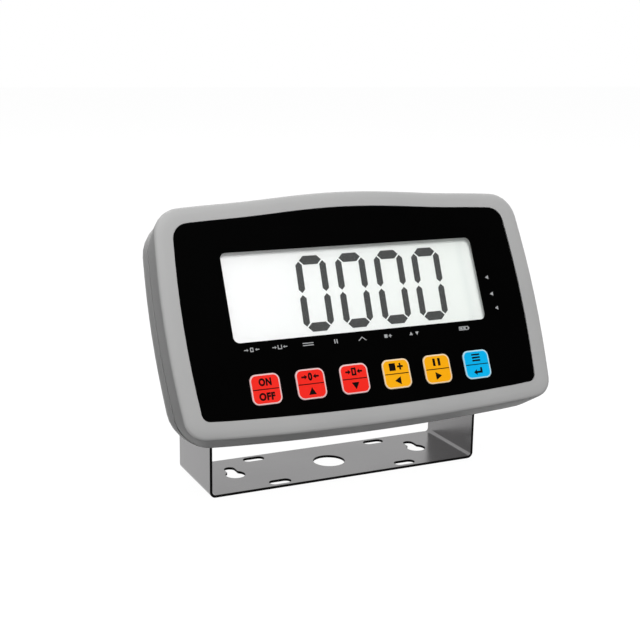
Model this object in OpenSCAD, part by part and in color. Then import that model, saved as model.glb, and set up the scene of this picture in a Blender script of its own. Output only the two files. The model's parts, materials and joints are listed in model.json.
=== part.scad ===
/* [Stand] */
// Depth of the plate and of the arms, front to back
bracket_d = 51.3; // [46:0.1:52]
// Thickness of the sheet
sheet_t = 1.5; // [1:0.1:2]
// Inside radius of the two bends
bend_r = 2; // [1:0.5:4]
// Height of the tilt pivot over the underside of the plate
pivot_h = 85.9; // [84:0.1:100]
// Height up to which the arms keep their full depth
arm_full_h = 46; // [30:1:48]
// Radius of the round ends of the arms
arm_end_r = 15; // [13:0.5:16]
// Diameter of the hole in the middle of the plate
centre_hole_d = 19; // [10:0.5:24]
// Width of the four fixing slots
slot_w = 6.5; // [4:0.1:8]
// Length of the four fixing slots, end to end
slot_l = 13.3; // [10:0.1:18]
// Distance between the fixing slots across the plate
slot_span_x = 81; // [60:1:100]
// Distance between the fixing slots from front to back
slot_span_y = 40.3; // [34:0.1:42]
// Diameter of the round part of the two keyholes
keyhole_d = 11.5; // [9:0.5:14]
// Width of the narrow part of the two keyholes
keyhole_slot_w = 6.5; // [4:0.1:8]
// Distance from the round part's centre to that of the narrow end
keyhole_reach = 9.5; // [8:0.5:11]
// Distance between the two keyholes
keyhole_span = 120; // [110:1:130]

/* [Tilt] */
// Lean of the front panel back from upright
tilt = 26; // [16:1:60]
// Depth of the pivot behind the front panel
pivot_back = 43.3; // [42.5:0.1:50]
// Height of the pivot over the row of keys, along the panel
pivot_up = 40; // [37:0.5:44]

/* [Front panel] */
// Width of the black overlay at its widest
panel_w = 207.8; // [206:0.2:230]
// Height of the overlay's shoulders over the row of keys
panel_up = 94.8; // [94:0.1:110]
// Height of the overlay below the row of keys
panel_down = 16.3; // [15.5:0.1:24]
// Rise of the crown in the middle of the top edge
crown_rise = 2.3; // [0.5:0.1:6]
// Width of the crown
crown_w = 136; // [90:1:160]
// Fall of the top edge from its middle to its ends
top_sag = 3.2; // [1:0.1:5]
// Rise of the bottom edge from its middle to its ends
bottom_sag = 3.2; // [1:0.1:4]
// How far the sides draw in from the middle to their ends
side_sag = 2.9; // [1:0.1:5]
// Radius of the overlay's top corners
corner_top_r = 9; // [5:0.5:14]
// Radius of the overlay's bottom corners
corner_bottom_r = 4.5; // [3:0.5:10]
// Thickness of the overlay
overlay_t = 0.6; // [0.4:0.1:1]
// Width of the display window
window_w = 155.2; // [140:0.2:158]
// Height of the display window
window_h = 49.3; // [44:0.1:52]
// Radius of the window's corners
window_r = 3.5; // [1:0.5:8]
// Height of the window's middle over the row of keys
window_up = 50.3; // [49.5:0.1:51]
// How far the window's middle lies to the left of the panel's
window_left = 0.5; // [0:0.1:1]

/* [Keys] */
// Width of a key
key_w = 16.9; // [12:0.1:19]
// Height of a key
key_h = 16.4; // [12:0.1:17]
// Radius of a key's corners
key_r = 3.7; // [1:0.1:5]
// Distance from one key to the next
key_pitch = 25.92; // [24:0.02:27]
// How far a key stands out of the overlay
key_proud = 0.3; // [0.1:0.1:0.4]
// How far a key travels when it is pressed
key_travel = 0.4; // [0.2:0.1:0.5]

/* [Housing] */
// Width of the grey rim round the overlay
bezel_w = 10.3; // [8:0.1:14]
// Depth of the front shell, from the overlay to the joint line
front_depth = 13.6; // [13:0.1:18]
// Thickness of the shells' walls
wall = 2.5; // [2:0.1:2.8]
// Thickness of the seal in the joint line
seal_t = 0.8; // [0.4:0.1:1.5]
// Depth of the rear shell's rim
rear_rim_d = 11.6; // [9:0.1:11.8]
// Height of the rear shell's hump over the pivot, and below it
hump_half_h = 48; // [47:0.5:52]
// Radius of the hump's corners
hump_corner_r = 12; // [8:0.5:16]

/* [Battery] */
// Length of the battery, across the housing
battery_w = 101; // [80:1:102]
// Height of the battery
battery_h = 70; // [50:1:71]
// Depth of the battery
battery_d = 47; // [40:1:60]
// Width of the main board beside the battery
main_w = 39.3; // [36:0.1:44]
// Thickness of the battery door
door_t = 2.5; // [2:0.1:4]

/* [Knobs] */
// Radius of a knob
knob_r = 12; // [10:0.5:13]
// Length of a knob
knob_l = 16; // [12:0.5:20]
// Radius of the knobs' studs
stud_r = 3; // [2.5:0.1:3.5]
// Number of finger hollows round a knob
knob_lobes = 7; // [5:1:9]
// Thickness of the friction washers inside the arms
friction_t = 2.6; // [1:0.1:3]

/* [Cable gland] */
// Radius of the cable that the gland takes
cable_r = 3; // [2:0.1:3.4]
// Width of the gland across its flats
gland_flats = 18; // [16:0.5:20]

/* [Display] */
// Width of a digit
digit_w = 18.2; // [14:0.1:21]
// Height of a digit
digit_h = 42.6; // [30:0.1:44]
// Distance from one digit to the next
digit_pitch = 24.1; // [22:0.1:26]
// Height of the lying segments
lying_seg_t = 5; // [2:0.1:6]
// Width of the standing segments
standing_seg_t = 3.8; // [2:0.1:6]

/* [Hidden] */

// Smoothness of round holes and pins
$fn = 48;
// How far a cutting solid runs past what it cuts
over = 1;
// Play between pieces that slide past each other by hand
slide_gap = 0.25;
// Play between a screw or pin and its hole
pin_gap = 0.05;
// Play between pieces that are laid into each other
seat_gap = 0.2;
// Gap between a turning face and the one beside it
face_gap = 0.1;
// How far two parts of one solid run into each other
merge = 0.5;

// Colours
shell_grey = [0.70, 0.70, 0.69];
panel_black = [0.03, 0.03, 0.03];
steel = [0.72, 0.72, 0.73];
key_colours = [[0.87, 0.18, 0.15], [0.87, 0.18, 0.15], [0.87, 0.18, 0.15],
               [0.95, 0.68, 0.09], [0.95, 0.68, 0.09], [0.05, 0.67, 0.87]];

// Stations behind the overlay's face
front_wall = 2;
panel_front_y = overlay_t;
panel_back_y = panel_front_y + front_wall;
lens_t = 1.4;
glass_gap = 0.4;
glass_y = panel_back_y + glass_gap;
glass_t = 2.4;
diffuser_t = 4;
strip_gap = 1.2;
board_y = glass_y + glass_t + diffuser_t + strip_gap;
board_t = 1.6;
board_back_y = board_y + board_t;
screw_head_t = 1.8;
rear_y = front_depth + seal_t;
rim_back_y = rear_y + rear_rim_d;
box_lip_t = 1.6;
box_y = board_back_y + screw_head_t + 2 * seat_gap;
battery_y = box_y + box_lip_t;
pad_t = 2.2;
battery_back_y = battery_y + battery_d;
door_y = battery_back_y + pad_t + slide_gap;
hump_back_y = door_y + door_t;
ledge_t = 2;

// The housing's outline: one ring of points, from the middle of the bottom edge round
// Half the overlay's width, or what the display, its board and the corner bosses need, if more
frame_wall = 2;
glass_margin = 5;
glass_w = window_w + 2 * glass_margin;
frame_w = glass_w + 2 * (frame_wall + seat_gap);
board_boss_r = 3.2;
board_edge = 4;
board_screw_x = window_left + frame_w / 2 + board_boss_r + seat_gap;
shell_boss_r = 4;
boss_inset = 4.4;
half_w = max(panel_w / 2, board_screw_x + board_edge + seat_gap + shell_boss_r + boss_inset);
side_mid = (panel_up - panel_down) / 2;
side_reach = (panel_up + panel_down) / 2;
crown_half = crown_w / 2;
edge_steps = 10;
side_steps = 8;
corner_steps = 7;
corner_grow_share = 0.65;

function bump(x) = abs(x) < crown_half ? pow(1 - pow(x / crown_half, 2), 2) : 0;

// Half an outline, from the bottom middle to the top middle: half-width w, heights up and
// down, corner radii rt and rb, and bow, which is 1 for the housing and 0 for a plain one
function side_x(w, z, bow) = w - bow * side_sag * pow((z - side_mid) / side_reach, 2);
function top_z(up, x, bow) = up + bow * (crown_rise * bump(x) - top_sag * pow(x / half_w, 2));
function low_z(down, x, bow) = bow * bottom_sag * pow(x / half_w, 2) - down;
function lean_side(z, bow) = atan(bow * 2 * side_sag * abs(z - side_mid) / pow(side_reach, 2));
function lean_top(x, bow) = atan(bow * 2 * top_sag * x / pow(half_w, 2));
function arc_at(x, z, r, a0, a1) =
    [for (i = [0:corner_steps])
        let (a = a0 + (a1 - a0) * i / corner_steps) [x + r * cos(a), z + r * sin(a)]];
function half_ring(w, up, down, rt, rb, bow) =
    let (
        bz = low_z(down, w - rb, bow) + rb,
        bx = side_x(w, bz, bow) - rb,
        tz = top_z(up, w - rt, bow) - rt,
        tx = side_x(w, tz, bow) - rt,
        la = lean_side(bz, bow), lb = lean_top(bx, bow),
        ta = lean_side(tz, bow), tb = lean_top(tx, bow)
    )
    concat(
        [for (i = [0:edge_steps - 1]) let (x = (bx + rb * sin(lb)) * i / edge_steps)
            [x, low_z(down, x, bow)]],
        arc_at(bx, bz, rb, lb - 90, -la),
        [for (i = [1:side_steps - 1])
            let (z0 = bz - rb * sin(la), z1 = tz + rt * sin(ta), z = z0 + (z1 - z0) * i / side_steps)
            [side_x(w, z, bow), z]],
        arc_at(tx, tz, rt, ta, 90 - tb),
        [for (i = [1:edge_steps]) let (x = (tx + rt * sin(tb)) * (1 - i / edge_steps))
            [x, top_z(up, x, bow)]]
    );
function whole_ring(half) =
    concat(half, [for (i = [len(half) - 2:-1:1]) [-half[i][0], half[i][1]]]);
// How much narrower the grey rim is along the top and the bottom than at the sides
rim_top_share = 0.89;
rim_low_share = 0.92;
// What the outline gains from the overlay's face back to the joint line: its bottom edge falls
// and its corners grow rounder
low_flare = 2.2;
top_corner_gain = 6;
low_corner_gain = 8;
// The housing's outline at the depth y, a distance g outside the overlay's edge, its bottom
// lifted by lift
function rim(g, y = 0, lift = 0) =
    let (d = min(max(y / front_depth, 0), 1))
    whole_ring(half_ring(half_w + g, panel_up + rim_top_share * g,
        panel_down + rim_low_share * g + low_flare * d - lift,
        corner_top_r + corner_grow_share * g + top_corner_gain * d,
        corner_bottom_r + corner_grow_share * g + low_corner_gain * d, 1));
// The same outline as a ring of points at that depth
function rim_at(g, y, lift = 0) = at_depth(rim(g, y, lift), y);
// How far the pads on the tilt axis stand out of the hump's sides
pad_proud = 0.3;
// Side by side in the hump: the battery in its box, a gap, then the main board over the gland
// and the power socket, whichever is wider
battery_side_room = 10.5;
box_wall = 2;
main_gap = 3;
hump_draft = 0.8;
gland_corner_r = gland_flats / sqrt(3);
jack_flange_r = 6.5;
jack_nut_r = 7.2;
socket_gap = 1.2;
socket_row_w = main_gap + 2 * gland_corner_r + socket_gap + jack_flange_r + jack_nut_r;
// The hump's outline, drawn in by inset
hump_hw = (battery_side_room + battery_w + box_wall + 2 * seat_gap + main_gap
    + max(main_w, socket_row_w) + main_gap / 2 + hump_draft + wall) / 2;
pivot_face_x = hump_hw + pad_proud;
// Width of the stand, outside one arm to outside the other
bracket_w = 2 * (pivot_face_x + friction_t + face_gap + sheet_t);
hump_top = pivot_up + hump_half_h;
hump_low = pivot_up - hump_half_h;
function hump(inset) =
    whole_ring(half_ring(hump_hw - inset, hump_top - inset, -hump_low - inset,
        hump_corner_r - inset / 2, hump_corner_r - inset / 2, 0));
function at_depth(ring, y) = [for (p = ring) [p[0], y, p[1]]];

// The bezel's section: shares of its width and of the front shell's depth
bezel_out_shares = [0.1, 0.5, 0.84, 0.95, 0.99, 1, 0.995, 0.985];
bezel_back_shares = [-0.03, -0.026, -0.008, 0.015, 0.045, 0.1, 0.55, 1];
bezel_lip = 0.25;
// The rear rim's section: how far it draws in and lifts at its back, as shares over its depth
rim_tuck = 3.6;
rim_lift = 5;
rim_out_shares = [0.02, 0.09, 0.11, 0.03, -0.45, -1];
rim_back_shares = [0, 0.28, 0.5, 0.78, 0.95, 1];
rim_lift_shares = [0.05, 0.3, 0.5, 0.78, 0.95, 1];
// The hump's section: its foot and its rounded back edge
hump_edge_r = 4;
hump_foot = 1.5;

// Places of the screws, counted from the sizes of what they hold
shell_screw_r = 1.5;
shell_head_r = 2.9;
shell_hole_r = shell_screw_r + 0.3 * shell_screw_r;
shell_head_sink = 3;
shell_screw_x = half_w - boss_inset;
shell_screw_top_z = panel_up - 2 * boss_inset;
shell_screw_low_z = boss_inset * 1.5 - panel_down;
shell_screw_places = [
    [-shell_screw_x, shell_screw_top_z], [shell_screw_x, shell_screw_top_z],
    [-shell_screw_x, shell_screw_low_z], [shell_screw_x, shell_screw_low_z],
    [0, panel_up + crown_rise], [0, -panel_down]
];

// Display stack
lens_margin = 3;
glass_h = window_h + 2 * glass_margin;
frame_h = glass_h + 2 * (frame_wall + seat_gap);
strip_w = 2.4;
segment_t = 0.15;
segment_gap = 0.6;
slant_share = 0.036;
digit_count = 4;
first_digit_left = 26.3;
digit_low = 21.8;

// Display board, its bosses and screws
board_screw_r = 1.3;
board_head_r = 2.5;
board_low_z = -key_h / 2 - board_edge;
board_top_z = window_up + frame_h / 2 + seat_gap;
board_screw_low_z = board_low_z + board_edge;
board_screw_top_z = board_top_z - board_edge;
board_screw_places = [for (s = [-1, 1]) for (z = [board_screw_low_z,
    (board_screw_low_z + board_screw_top_z) / 2, board_screw_top_z]) [s * board_screw_x, z]];

// Keys and their switches
key_count = 6;
key_play = 0.15;
key_flange = 0.9;
key_flange_t = 0.8;
key_stem_r = 2.5;
switch_w = 6;
switch_h = 3.6;
plunger_r = 1.75;
plunger_up = 0.8;
plunger_deep = 0.8;
switch_y = board_y - switch_h;
plunger_y = switch_y - plunger_up;
function key_x(i) = (i - (key_count - 1) / 2) * key_pitch;

// Battery box and door
battery_x = -hump_hw + battery_side_room + battery_w / 2;
battery_z = pivot_up;
box_w = battery_w + 2 * (seat_gap * 2 + box_wall);
box_h = battery_h + 2 * (seat_gap * 2 + box_wall);
mouth_w = battery_w + 4 * seat_gap;
mouth_h = battery_h + 4 * seat_gap;
lip_reach = 4;
door_lap = 3;
dovetail = 1.2;
door_hw = mouth_w / 2 + door_lap;
door_top_z = battery_z + mouth_h / 2 + door_lap;
door_low_z = hump_low + hump_edge_r;
grip_w = 26;
grip_h = 1.2;
grip_t = 0.6;
grip_count = 5;
grip_pitch = 2.6;

// Main board, beside the battery
main_stand = 6;
hump_inner_y = hump_back_y - wall;
main_back_y = hump_inner_y - main_stand;
main_y = main_back_y - board_t;
main_x0 = battery_x + box_w / 2 + main_gap;
main_x1 = main_x0 + main_w;
main_edge = 3.5;
socket_rise = 16;
socket_z = hump_low + socket_rise;
main_z0 = socket_z + gland_corner_r + main_gap;
main_z1 = hump_top - hump_corner_r;
main_h = main_z1 - main_z0;
main_screw_places = [for (x = [main_x0 + main_edge, main_x1 - main_edge])
    for (z = [main_z0 + main_edge, main_z1 - main_edge]) [x, z]];
main_boss_r = 3;

// Gland and power socket in the hump's back
gland_x = main_x0 + gland_corner_r + main_gap;
gland_thread_r = 6;
gland_flange_t = 5;
gland_neck_l = 8;
gland_neck_r = 7.5;
gland_bore_r = 5.2;
gland_nut_t = 3.4;
cap_l = 15;
cap_gap = 0.6;
cap_wall_r = gland_flats / 2;
cap_hole_r = (cable_r + gland_bore_r) / 2;
seal_l = 10;
jack_r = 5.4;
jack_flange_t = 1.5;
jack_l = 14;
jack_bore_r = 2.8;
jack_bore_l = 9;
jack_pin_r = 1;
jack_nut_t = 2;
jack_x = gland_x + gland_corner_r + jack_flange_r + socket_gap;

// Pivot
insert_r = 4.5;
insert_l = 8;
pivot_boss_r = 9;
pivot_pad_r = 13;
friction_r = 12;
arm_hole_r = stud_r + 0.1 * stud_r;
washer_t = 1;
washer_r = 8;
washer_hole_r = stud_r + 0.1 * stud_r;
stud_in = insert_l - 1;
knob_base_x = bracket_w / 2 + face_gap + washer_t;
knob_neck_r = 7.5;
knob_neck_l = 2.5;
knob_edge = 1.5;
hollow_r = 4;
hollow_out = 1.8;
stud_bury_share = 0.7;

// Electronics on the main board
chip_w = 12;
chip_t = 1.6;
small_chip_w = 8;
cap_r = 5;
cap_h = 12;
buzzer_r = 6;
buzzer_h = 8;
buzzer_hole_r = 1;
header_w = 14;
header_h = 6;
header_t = 6;
header_x = main_x0 + main_w / 2;
header_z = main_z1 - header_h * 2;
ribbon_w = 11;
ribbon_t = 0.8;
ribbon_sway = 4;
ribbon_steps = 16;
terminal_w = 4.8;
terminal_t = 0.8;
terminal_l = 6;
terminal_y = battery_y + battery_d * 0.6;
terminal_rise = battery_h / 4;
terminal_slot_w = terminal_w + 2 * seat_gap;
lead_r = 1.2;
lead_bend_r = 4;
sleeve_l = 5;
sleeve_w = 6;
sleeve_t = 3;

// Moves the housing's pieces, drawn behind an upright panel, to their place on the pivot
module in_housing() {
    translate([0, 0, pivot_h]) rotate([-tilt, 0, 0]) translate([0, -pivot_back, -pivot_up])
        children();
}

// Gives a flat outline a thickness from the depth y0 to the depth y1
module between(y0, y1) {
    translate([0, y1, 0]) rotate([90, 0, 0]) linear_extrude(y1 - y0) children();
}

// A round bar along the depth at the place p
module bar(p, y0, y1, r) {
    translate([p[0], y1, p[1]]) rotate([90, 0, 0]) cylinder(h = y1 - y0, r = r);
}

module round_rect(w, h, r) {
    square([w - 2 * r, h], center = true);
    square([w, h - 2 * r], center = true);
    for (x = [-1, 1]) for (y = [-1, 1])
        translate([x * (w / 2 - r), y * (h / 2 - r)]) circle(r = r);
}

// The middle of a ring of points
function ring_middle(ring) = [for (axis = [0:2])
    (min([for (p = ring) p[axis]]) + max([for (p = ring) p[axis]])) / 2];

// A closed solid through rings of points, from the front ring to the back one, each end
// closed by a fan from its middle
module loft(rings) {
    n = len(rings[0]);
    m = len(rings);
    polyhedron(
        points = concat([for (ring = rings) each ring],
            [ring_middle(rings[0]), ring_middle(rings[m - 1])]),
        faces = concat(
            [for (i = [0:n - 1]) [(i + 1) % n, i, m * n]],
            [for (k = [0:m - 2]) for (i = [0:n - 1]) let (j = (i + 1) % n)
                [k * n + i, k * n + j, (k + 1) * n + j]],
            [for (k = [0:m - 2]) for (i = [0:n - 1]) let (j = (i + 1) % n)
                [k * n + i, (k + 1) * n + j, (k + 1) * n + i]],
            [for (i = [0:n - 1]) [(m - 1) * n + i, (m - 1) * n + (i + 1) % n, m * n + 1]]
        ),
        convexity = 6
    );
}

// A screw with a flat head and a cross recess, its shank running forward from the head
module pan_screw(p, head_y, shank_l, r, head_r, head_t) {
    difference() {
        union() {
            bar(p, head_y - shank_l, head_y + merge, r);
            bar(p, head_y, head_y + head_t, head_r);
        }
        for (a = [0, 90])
            translate([p[0], head_y + head_t, p[1]]) rotate([0, a, 0])
                cube([head_r * 1.2, head_t, head_r * 0.25], center = true);
    }
}

module bracket() {
    taper = [bracket_d / 2, pivot_h - arm_full_h];
    reach = norm(taper);
    turn = atan2(taper[0], taper[1]) + acos(arm_end_r / reach);
    touch_y = arm_end_r * sin(turn);
    touch_z = pivot_h - arm_end_r * cos(turn);
    outer_r = bend_r + sheet_t;
    top_h = pivot_h + arm_end_r;
    color(steel) difference() {
        intersection() {
            // The bent sheet, seen from the front
            translate([0, bracket_d / 2, 0]) rotate([90, 0, 0]) linear_extrude(bracket_d)
                difference() {
                    union() {
                        translate([-bracket_w / 2, outer_r]) square([bracket_w, top_h - outer_r]);
                        translate([outer_r - bracket_w / 2, 0])
                            square([bracket_w - 2 * outer_r, top_h]);
                        for (s = [-1, 1]) translate([s * (bracket_w / 2 - outer_r), outer_r])
                            circle(r = outer_r);
                    }
                    translate([sheet_t - bracket_w / 2, outer_r])
                        square([bracket_w - 2 * sheet_t, top_h]);
                    translate([outer_r - bracket_w / 2, sheet_t])
                        square([bracket_w - 2 * outer_r, top_h]);
                    for (s = [-1, 1]) translate([s * (bracket_w / 2 - outer_r), outer_r])
                        circle(r = bend_r);
                }
            // The arms, seen from the side
            translate([-bracket_w / 2 - over, 0, 0]) rotate([90, 0, 90])
                linear_extrude(bracket_w + 2 * over) union() {
                    polygon([[-bracket_d / 2, 0], [bracket_d / 2, 0], [bracket_d / 2, arm_full_h],
                             [touch_y, touch_z], [-touch_y, touch_z],
                             [-bracket_d / 2, arm_full_h]]);
                    translate([0, pivot_h]) circle(r = arm_end_r);
                }
        }
        translate([0, 0, -over]) cylinder(h = sheet_t + 2 * over, d = centre_hole_d);
        for (x = [-1, 1]) for (y = [-1, 1])
            translate([x * slot_span_x / 2, y * slot_span_y / 2, -over])
                linear_extrude(sheet_t + 2 * over) {
                    square([slot_l - slot_w, slot_w], center = true);
                    for (s = [-1, 1]) translate([s * (slot_l - slot_w) / 2, 0]) circle(d = slot_w);
                }
        for (x = [-1, 1])
            translate([x * keyhole_span / 2, 0, -over]) linear_extrude(sheet_t + 2 * over) {
                circle(d = keyhole_d);
                translate([-keyhole_slot_w / 2, 0]) square([keyhole_slot_w, keyhole_reach]);
                translate([0, keyhole_reach]) circle(d = keyhole_slot_w);
            }
        translate([-bracket_w / 2 - over, 0, pivot_h]) rotate([0, 90, 0])
            cylinder(h = bracket_w + 2 * over, r = arm_hole_r);
    }
}

module front_shell() {
    color(shell_grey) in_housing() difference() {
        union() {
            difference() {
                loft([for (k = [0:len(bezel_out_shares) - 1])
                    rim_at(bezel_w * bezel_out_shares[k], front_depth * bezel_back_shares[k])]);
                between(-over, panel_front_y) polygon(rim(bezel_lip));
                loft([
                    rim_at(bezel_w - 2 * wall, panel_back_y),
                    rim_at(bezel_w - wall - merge, panel_back_y + merge),
                    rim_at(bezel_w - wall, panel_back_y + wall),
                    rim_at(bezel_w - wall, front_depth + over)
                ]);
            }
            for (p = shell_screw_places) bar(p, panel_front_y + merge, front_depth + seal_t / 2,
                shell_boss_r);
            for (p = board_screw_places) bar(p, panel_front_y + merge, board_y, board_boss_r);
        }
        translate([-window_left, 0, window_up]) {
            between(panel_front_y - over, panel_back_y + over)
                round_rect(window_w + lens_margin, window_h + lens_margin, window_r);
            between(panel_front_y - over, panel_front_y + lens_t)
                round_rect(window_w + 2 * lens_margin + 2 * seat_gap,
                    window_h + 2 * lens_margin + 2 * seat_gap, window_r);
        }
        for (i = [0:key_count - 1]) translate([key_x(i), 0, 0])
            between(panel_front_y - over, panel_back_y + over)
                round_rect(key_w + 2 * key_play, key_h + 2 * key_play, key_r);
        for (p = shell_screw_places)
            bar(p, panel_back_y + merge, front_depth + over, shell_screw_r + pin_gap);
        for (p = board_screw_places)
            bar(p, panel_back_y + merge, board_y + over, board_screw_r + pin_gap);
    }
}

module rear_outside() {
    loft(concat(
        [for (k = [0:len(rim_out_shares) - 1])
            rim_at(bezel_w + rim_tuck * rim_out_shares[k], rear_y + rear_rim_d * rim_back_shares[k],
                rim_lift * rim_lift_shares[k])],
        [
            at_depth(hump(-hump_foot), rim_back_y),
            at_depth(hump(-hump_foot / 4), rim_back_y + hump_foot * 3 / 4),
            at_depth(hump(0), rim_back_y + 2 * hump_foot)
        ],
        [for (a = [0:30:90])
            at_depth(hump(hump_draft + hump_edge_r * (1 - cos(a))),
                hump_back_y - hump_edge_r + hump_edge_r * sin(a))]
    ));
}

module rear_inside() {
    loft(concat(
        [rim_at(bezel_w - wall + rim_tuck * rim_out_shares[0], rear_y - over)],
        [for (k = [1:len(rim_out_shares) - 2])
            rim_at(bezel_w - wall + rim_tuck * rim_out_shares[k],
                rear_y + (rear_rim_d - wall) * rim_back_shares[k], rim_lift * rim_lift_shares[k])],
        [
            rim_at(bezel_w - 2 * wall - rim_tuck, rim_back_y - wall, rim_lift),
            at_depth(hump(wall - hump_foot), rim_back_y - wall),
            at_depth(hump(wall), rim_back_y),
            at_depth(hump(wall + hump_draft), hump_back_y - hump_edge_r),
            at_depth(hump(wall + hump_draft + hump_edge_r / 3), hump_inner_y)
        ]
    ));
}

module rear_shell() {
    color(shell_grey) in_housing() difference() {
        union() {
            difference() {
                rear_outside();
                rear_inside();
            }
            // Bosses for the screws that close the housing
            for (p = shell_screw_places) bar(p, rear_y, rim_back_y - merge, shell_boss_r);
            // Stand-offs for the main board
            for (p = main_screw_places) bar(p, main_back_y, hump_inner_y + merge, main_boss_r);
            // Pads and bosses on the tilt axis
            for (s = [0, 1]) mirror([s, 0, 0]) {
                translate([pivot_face_x - insert_l - merge, pivot_back, pivot_up])
                    rotate([0, 90, 0]) cylinder(h = insert_l + merge, r = pivot_boss_r);
                translate([hump_hw - wall + merge, pivot_back, pivot_up]) rotate([0, 90, 0])
                    cylinder(h = pad_proud + wall - merge, r = pivot_pad_r);
            }
            // Battery box, its front lip and the ledge behind the door
            translate([battery_x, 0, battery_z]) {
                difference() {
                    between(box_y, hump_inner_y + merge) square([box_w, box_h], center = true);
                    between(battery_y, hump_inner_y + over)
                        square([mouth_w, mouth_h], center = true);
                    between(box_y - over, battery_y + over)
                        square([battery_w - 2 * lip_reach, battery_h - 2 * lip_reach],
                            center = true);
                }
            }
            translate([0, 0, (door_top_z + door_low_z) / 2]) between(door_y - ledge_t, door_y + merge)
                translate([battery_x, 0]) square([2 * door_hw + 2 * dovetail + wall,
                    door_top_z - door_low_z + wall], center = true);
        }
        translate([battery_x, 0, battery_z]) between(door_y - ledge_t - over, hump_back_y + over)
            square([mouth_w, mouth_h], center = true);
        // The dovetailed slide of the door, open at the bottom
        translate([battery_x, 0, hump_low - over])
            linear_extrude(door_top_z - hump_low + over + slide_gap)
                polygon([
                    [-door_hw - dovetail - slide_gap, door_y],
                    [door_hw + dovetail + slide_gap, door_y],
                    [door_hw + slide_gap, hump_back_y + over],
                    [-door_hw - slide_gap, hump_back_y + over]
                ]);
        for (p = shell_screw_places) {
            bar(p, rear_y - over, rim_back_y + over, shell_hole_r);
            bar(p, rim_back_y - shell_head_sink, rim_back_y + over, shell_head_r + seat_gap);
        }
        for (p = main_screw_places)
            bar(p, main_back_y - over, hump_inner_y, board_screw_r + pin_gap);
        for (s = [0, 1]) mirror([s, 0, 0])
            translate([pivot_face_x - insert_l, pivot_back, pivot_up]) rotate([0, 90, 0])
                cylinder(h = insert_l + over, r = insert_r + pin_gap);
        // Slots in the box's wall that let the battery's terminals slide in with it
        for (s = [-1, 1]) translate([battery_x + battery_w / 2, 0, battery_z + s * terminal_rise])
            between(terminal_y - terminal_t / 2 - seat_gap, hump_inner_y)
                translate([0, -terminal_slot_w / 2]) square([terminal_l, terminal_slot_w]);
        bar([gland_x, socket_z], hump_inner_y - over, hump_back_y + over, gland_thread_r + pin_gap);
        bar([jack_x, socket_z], hump_inner_y - over, hump_back_y + over, jack_r + pin_gap);
    }
}

module housing_seal() {
    color([0.12, 0.12, 0.12]) in_housing() difference() {
        between(front_depth, rear_y) polygon(rim(bezel_w - merge, front_depth));
        between(front_depth - over, rear_y + over) polygon(rim(bezel_w - wall + merge, front_depth));
    }
}

module overlay() {
    color(panel_black) in_housing() difference() {
        between(0, overlay_t) polygon(rim(0));
        translate([-window_left, 0, window_up]) between(-over, overlay_t + over)
            round_rect(window_w, window_h, window_r);
        for (i = [0:key_count - 1]) translate([key_x(i), 0, 0]) between(-over, overlay_t + over)
            round_rect(key_w + 2 * key_play, key_h + 2 * key_play, key_r);
    }
}

module window_lens() {
    color([0.85, 0.9, 0.92, 0.4]) in_housing() translate([-window_left, 0, window_up])
        between(panel_front_y, panel_front_y + lens_t)
            round_rect(window_w + 2 * lens_margin, window_h + 2 * lens_margin, window_r);
}

module lcd_glass() {
    color([0.95, 0.98, 0.96]) in_housing() translate([-window_left, 0, window_up])
        between(glass_y, glass_y + glass_t) square([glass_w, glass_h], center = true);
}

// One segment with pointed ends, leaning with the digit
module segment(x0, z0, x1, z1, t) {
    lying = z0 == z1;
    h = t / 2;
    tips = lying
        ? [[x0, z0], [x0 + h, z0 + h], [x1 - h, z0 + h], [x1, z0], [x1 - h, z0 - h], [x0 + h, z0 - h]]
        : [[x0, z0], [x0 - h, z0 + h], [x0 - h, z1 - h], [x0, z1], [x0 + h, z1 - h], [x0 + h, z0 + h]];
    polygon([for (p = tips) [p[0] + slant_share * p[1], p[1]]]);
}

// A shown zero: all its segments but the middle one
module zero_digit() {
    ht = lying_seg_t / 2;
    vt = standing_seg_t / 2;
    for (z = [ht, digit_h - ht])
        segment(vt + segment_gap, z, digit_w - vt - segment_gap, z, lying_seg_t);
    for (x = [vt, digit_w - vt]) {
        segment(x, ht + segment_gap, x, digit_h / 2 - segment_gap, standing_seg_t);
        segment(x, digit_h / 2 + segment_gap, x, digit_h - ht - segment_gap, standing_seg_t);
    }
}

module lcd_segments() {
    color([0.1, 0.1, 0.1]) in_housing()
        translate([-window_left - first_digit_left, 0, window_up - digit_low])
            between(glass_y - segment_t, glass_y) for (i = [0:digit_count - 1])
                translate([i * digit_pitch - digit_w / 2, 0]) zero_digit();
}

module lcd_frame() {
    color([0.9, 0.9, 0.88]) in_housing() translate([-window_left, 0, window_up]) difference() {
        between(panel_back_y + face_gap, board_y) square([frame_w, frame_h], center = true);
        between(panel_back_y - over, glass_y)
            square([window_w + lens_margin, window_h + lens_margin], center = true);
        between(glass_y - pin_gap, board_y + over)
            square([glass_w + 2 * seat_gap, glass_h + 2 * seat_gap], center = true);
    }
}

module lcd_diffuser() {
    color("white") in_housing() translate([-window_left, 0, window_up])
        between(glass_y + glass_t, glass_y + glass_t + diffuser_t)
            square([glass_w - 2 * seat_gap, glass_h - 4 * strip_w], center = true);
}

module lcd_contact_strips() {
    color([0.35, 0.35, 0.38]) in_housing() translate([-window_left, 0, window_up])
        for (s = [-1, 1]) translate([0, 0, s * (glass_h / 2 - strip_w * 0.75)])
            between(glass_y + glass_t, board_y) square([glass_w - strip_w, strip_w], center = true);
}

module display_board() {
    color([0.1, 0.4, 0.2]) in_housing() difference() {
        translate([0, 0, (board_low_z + board_top_z) / 2]) between(board_y, board_back_y)
            round_rect(2 * (board_screw_x + board_edge), board_top_z - board_low_z, board_edge / 2);
        for (p = board_screw_places)
            bar(p, board_y - over, board_back_y + over, board_screw_r + 2 * pin_gap);
    }
}

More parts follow.
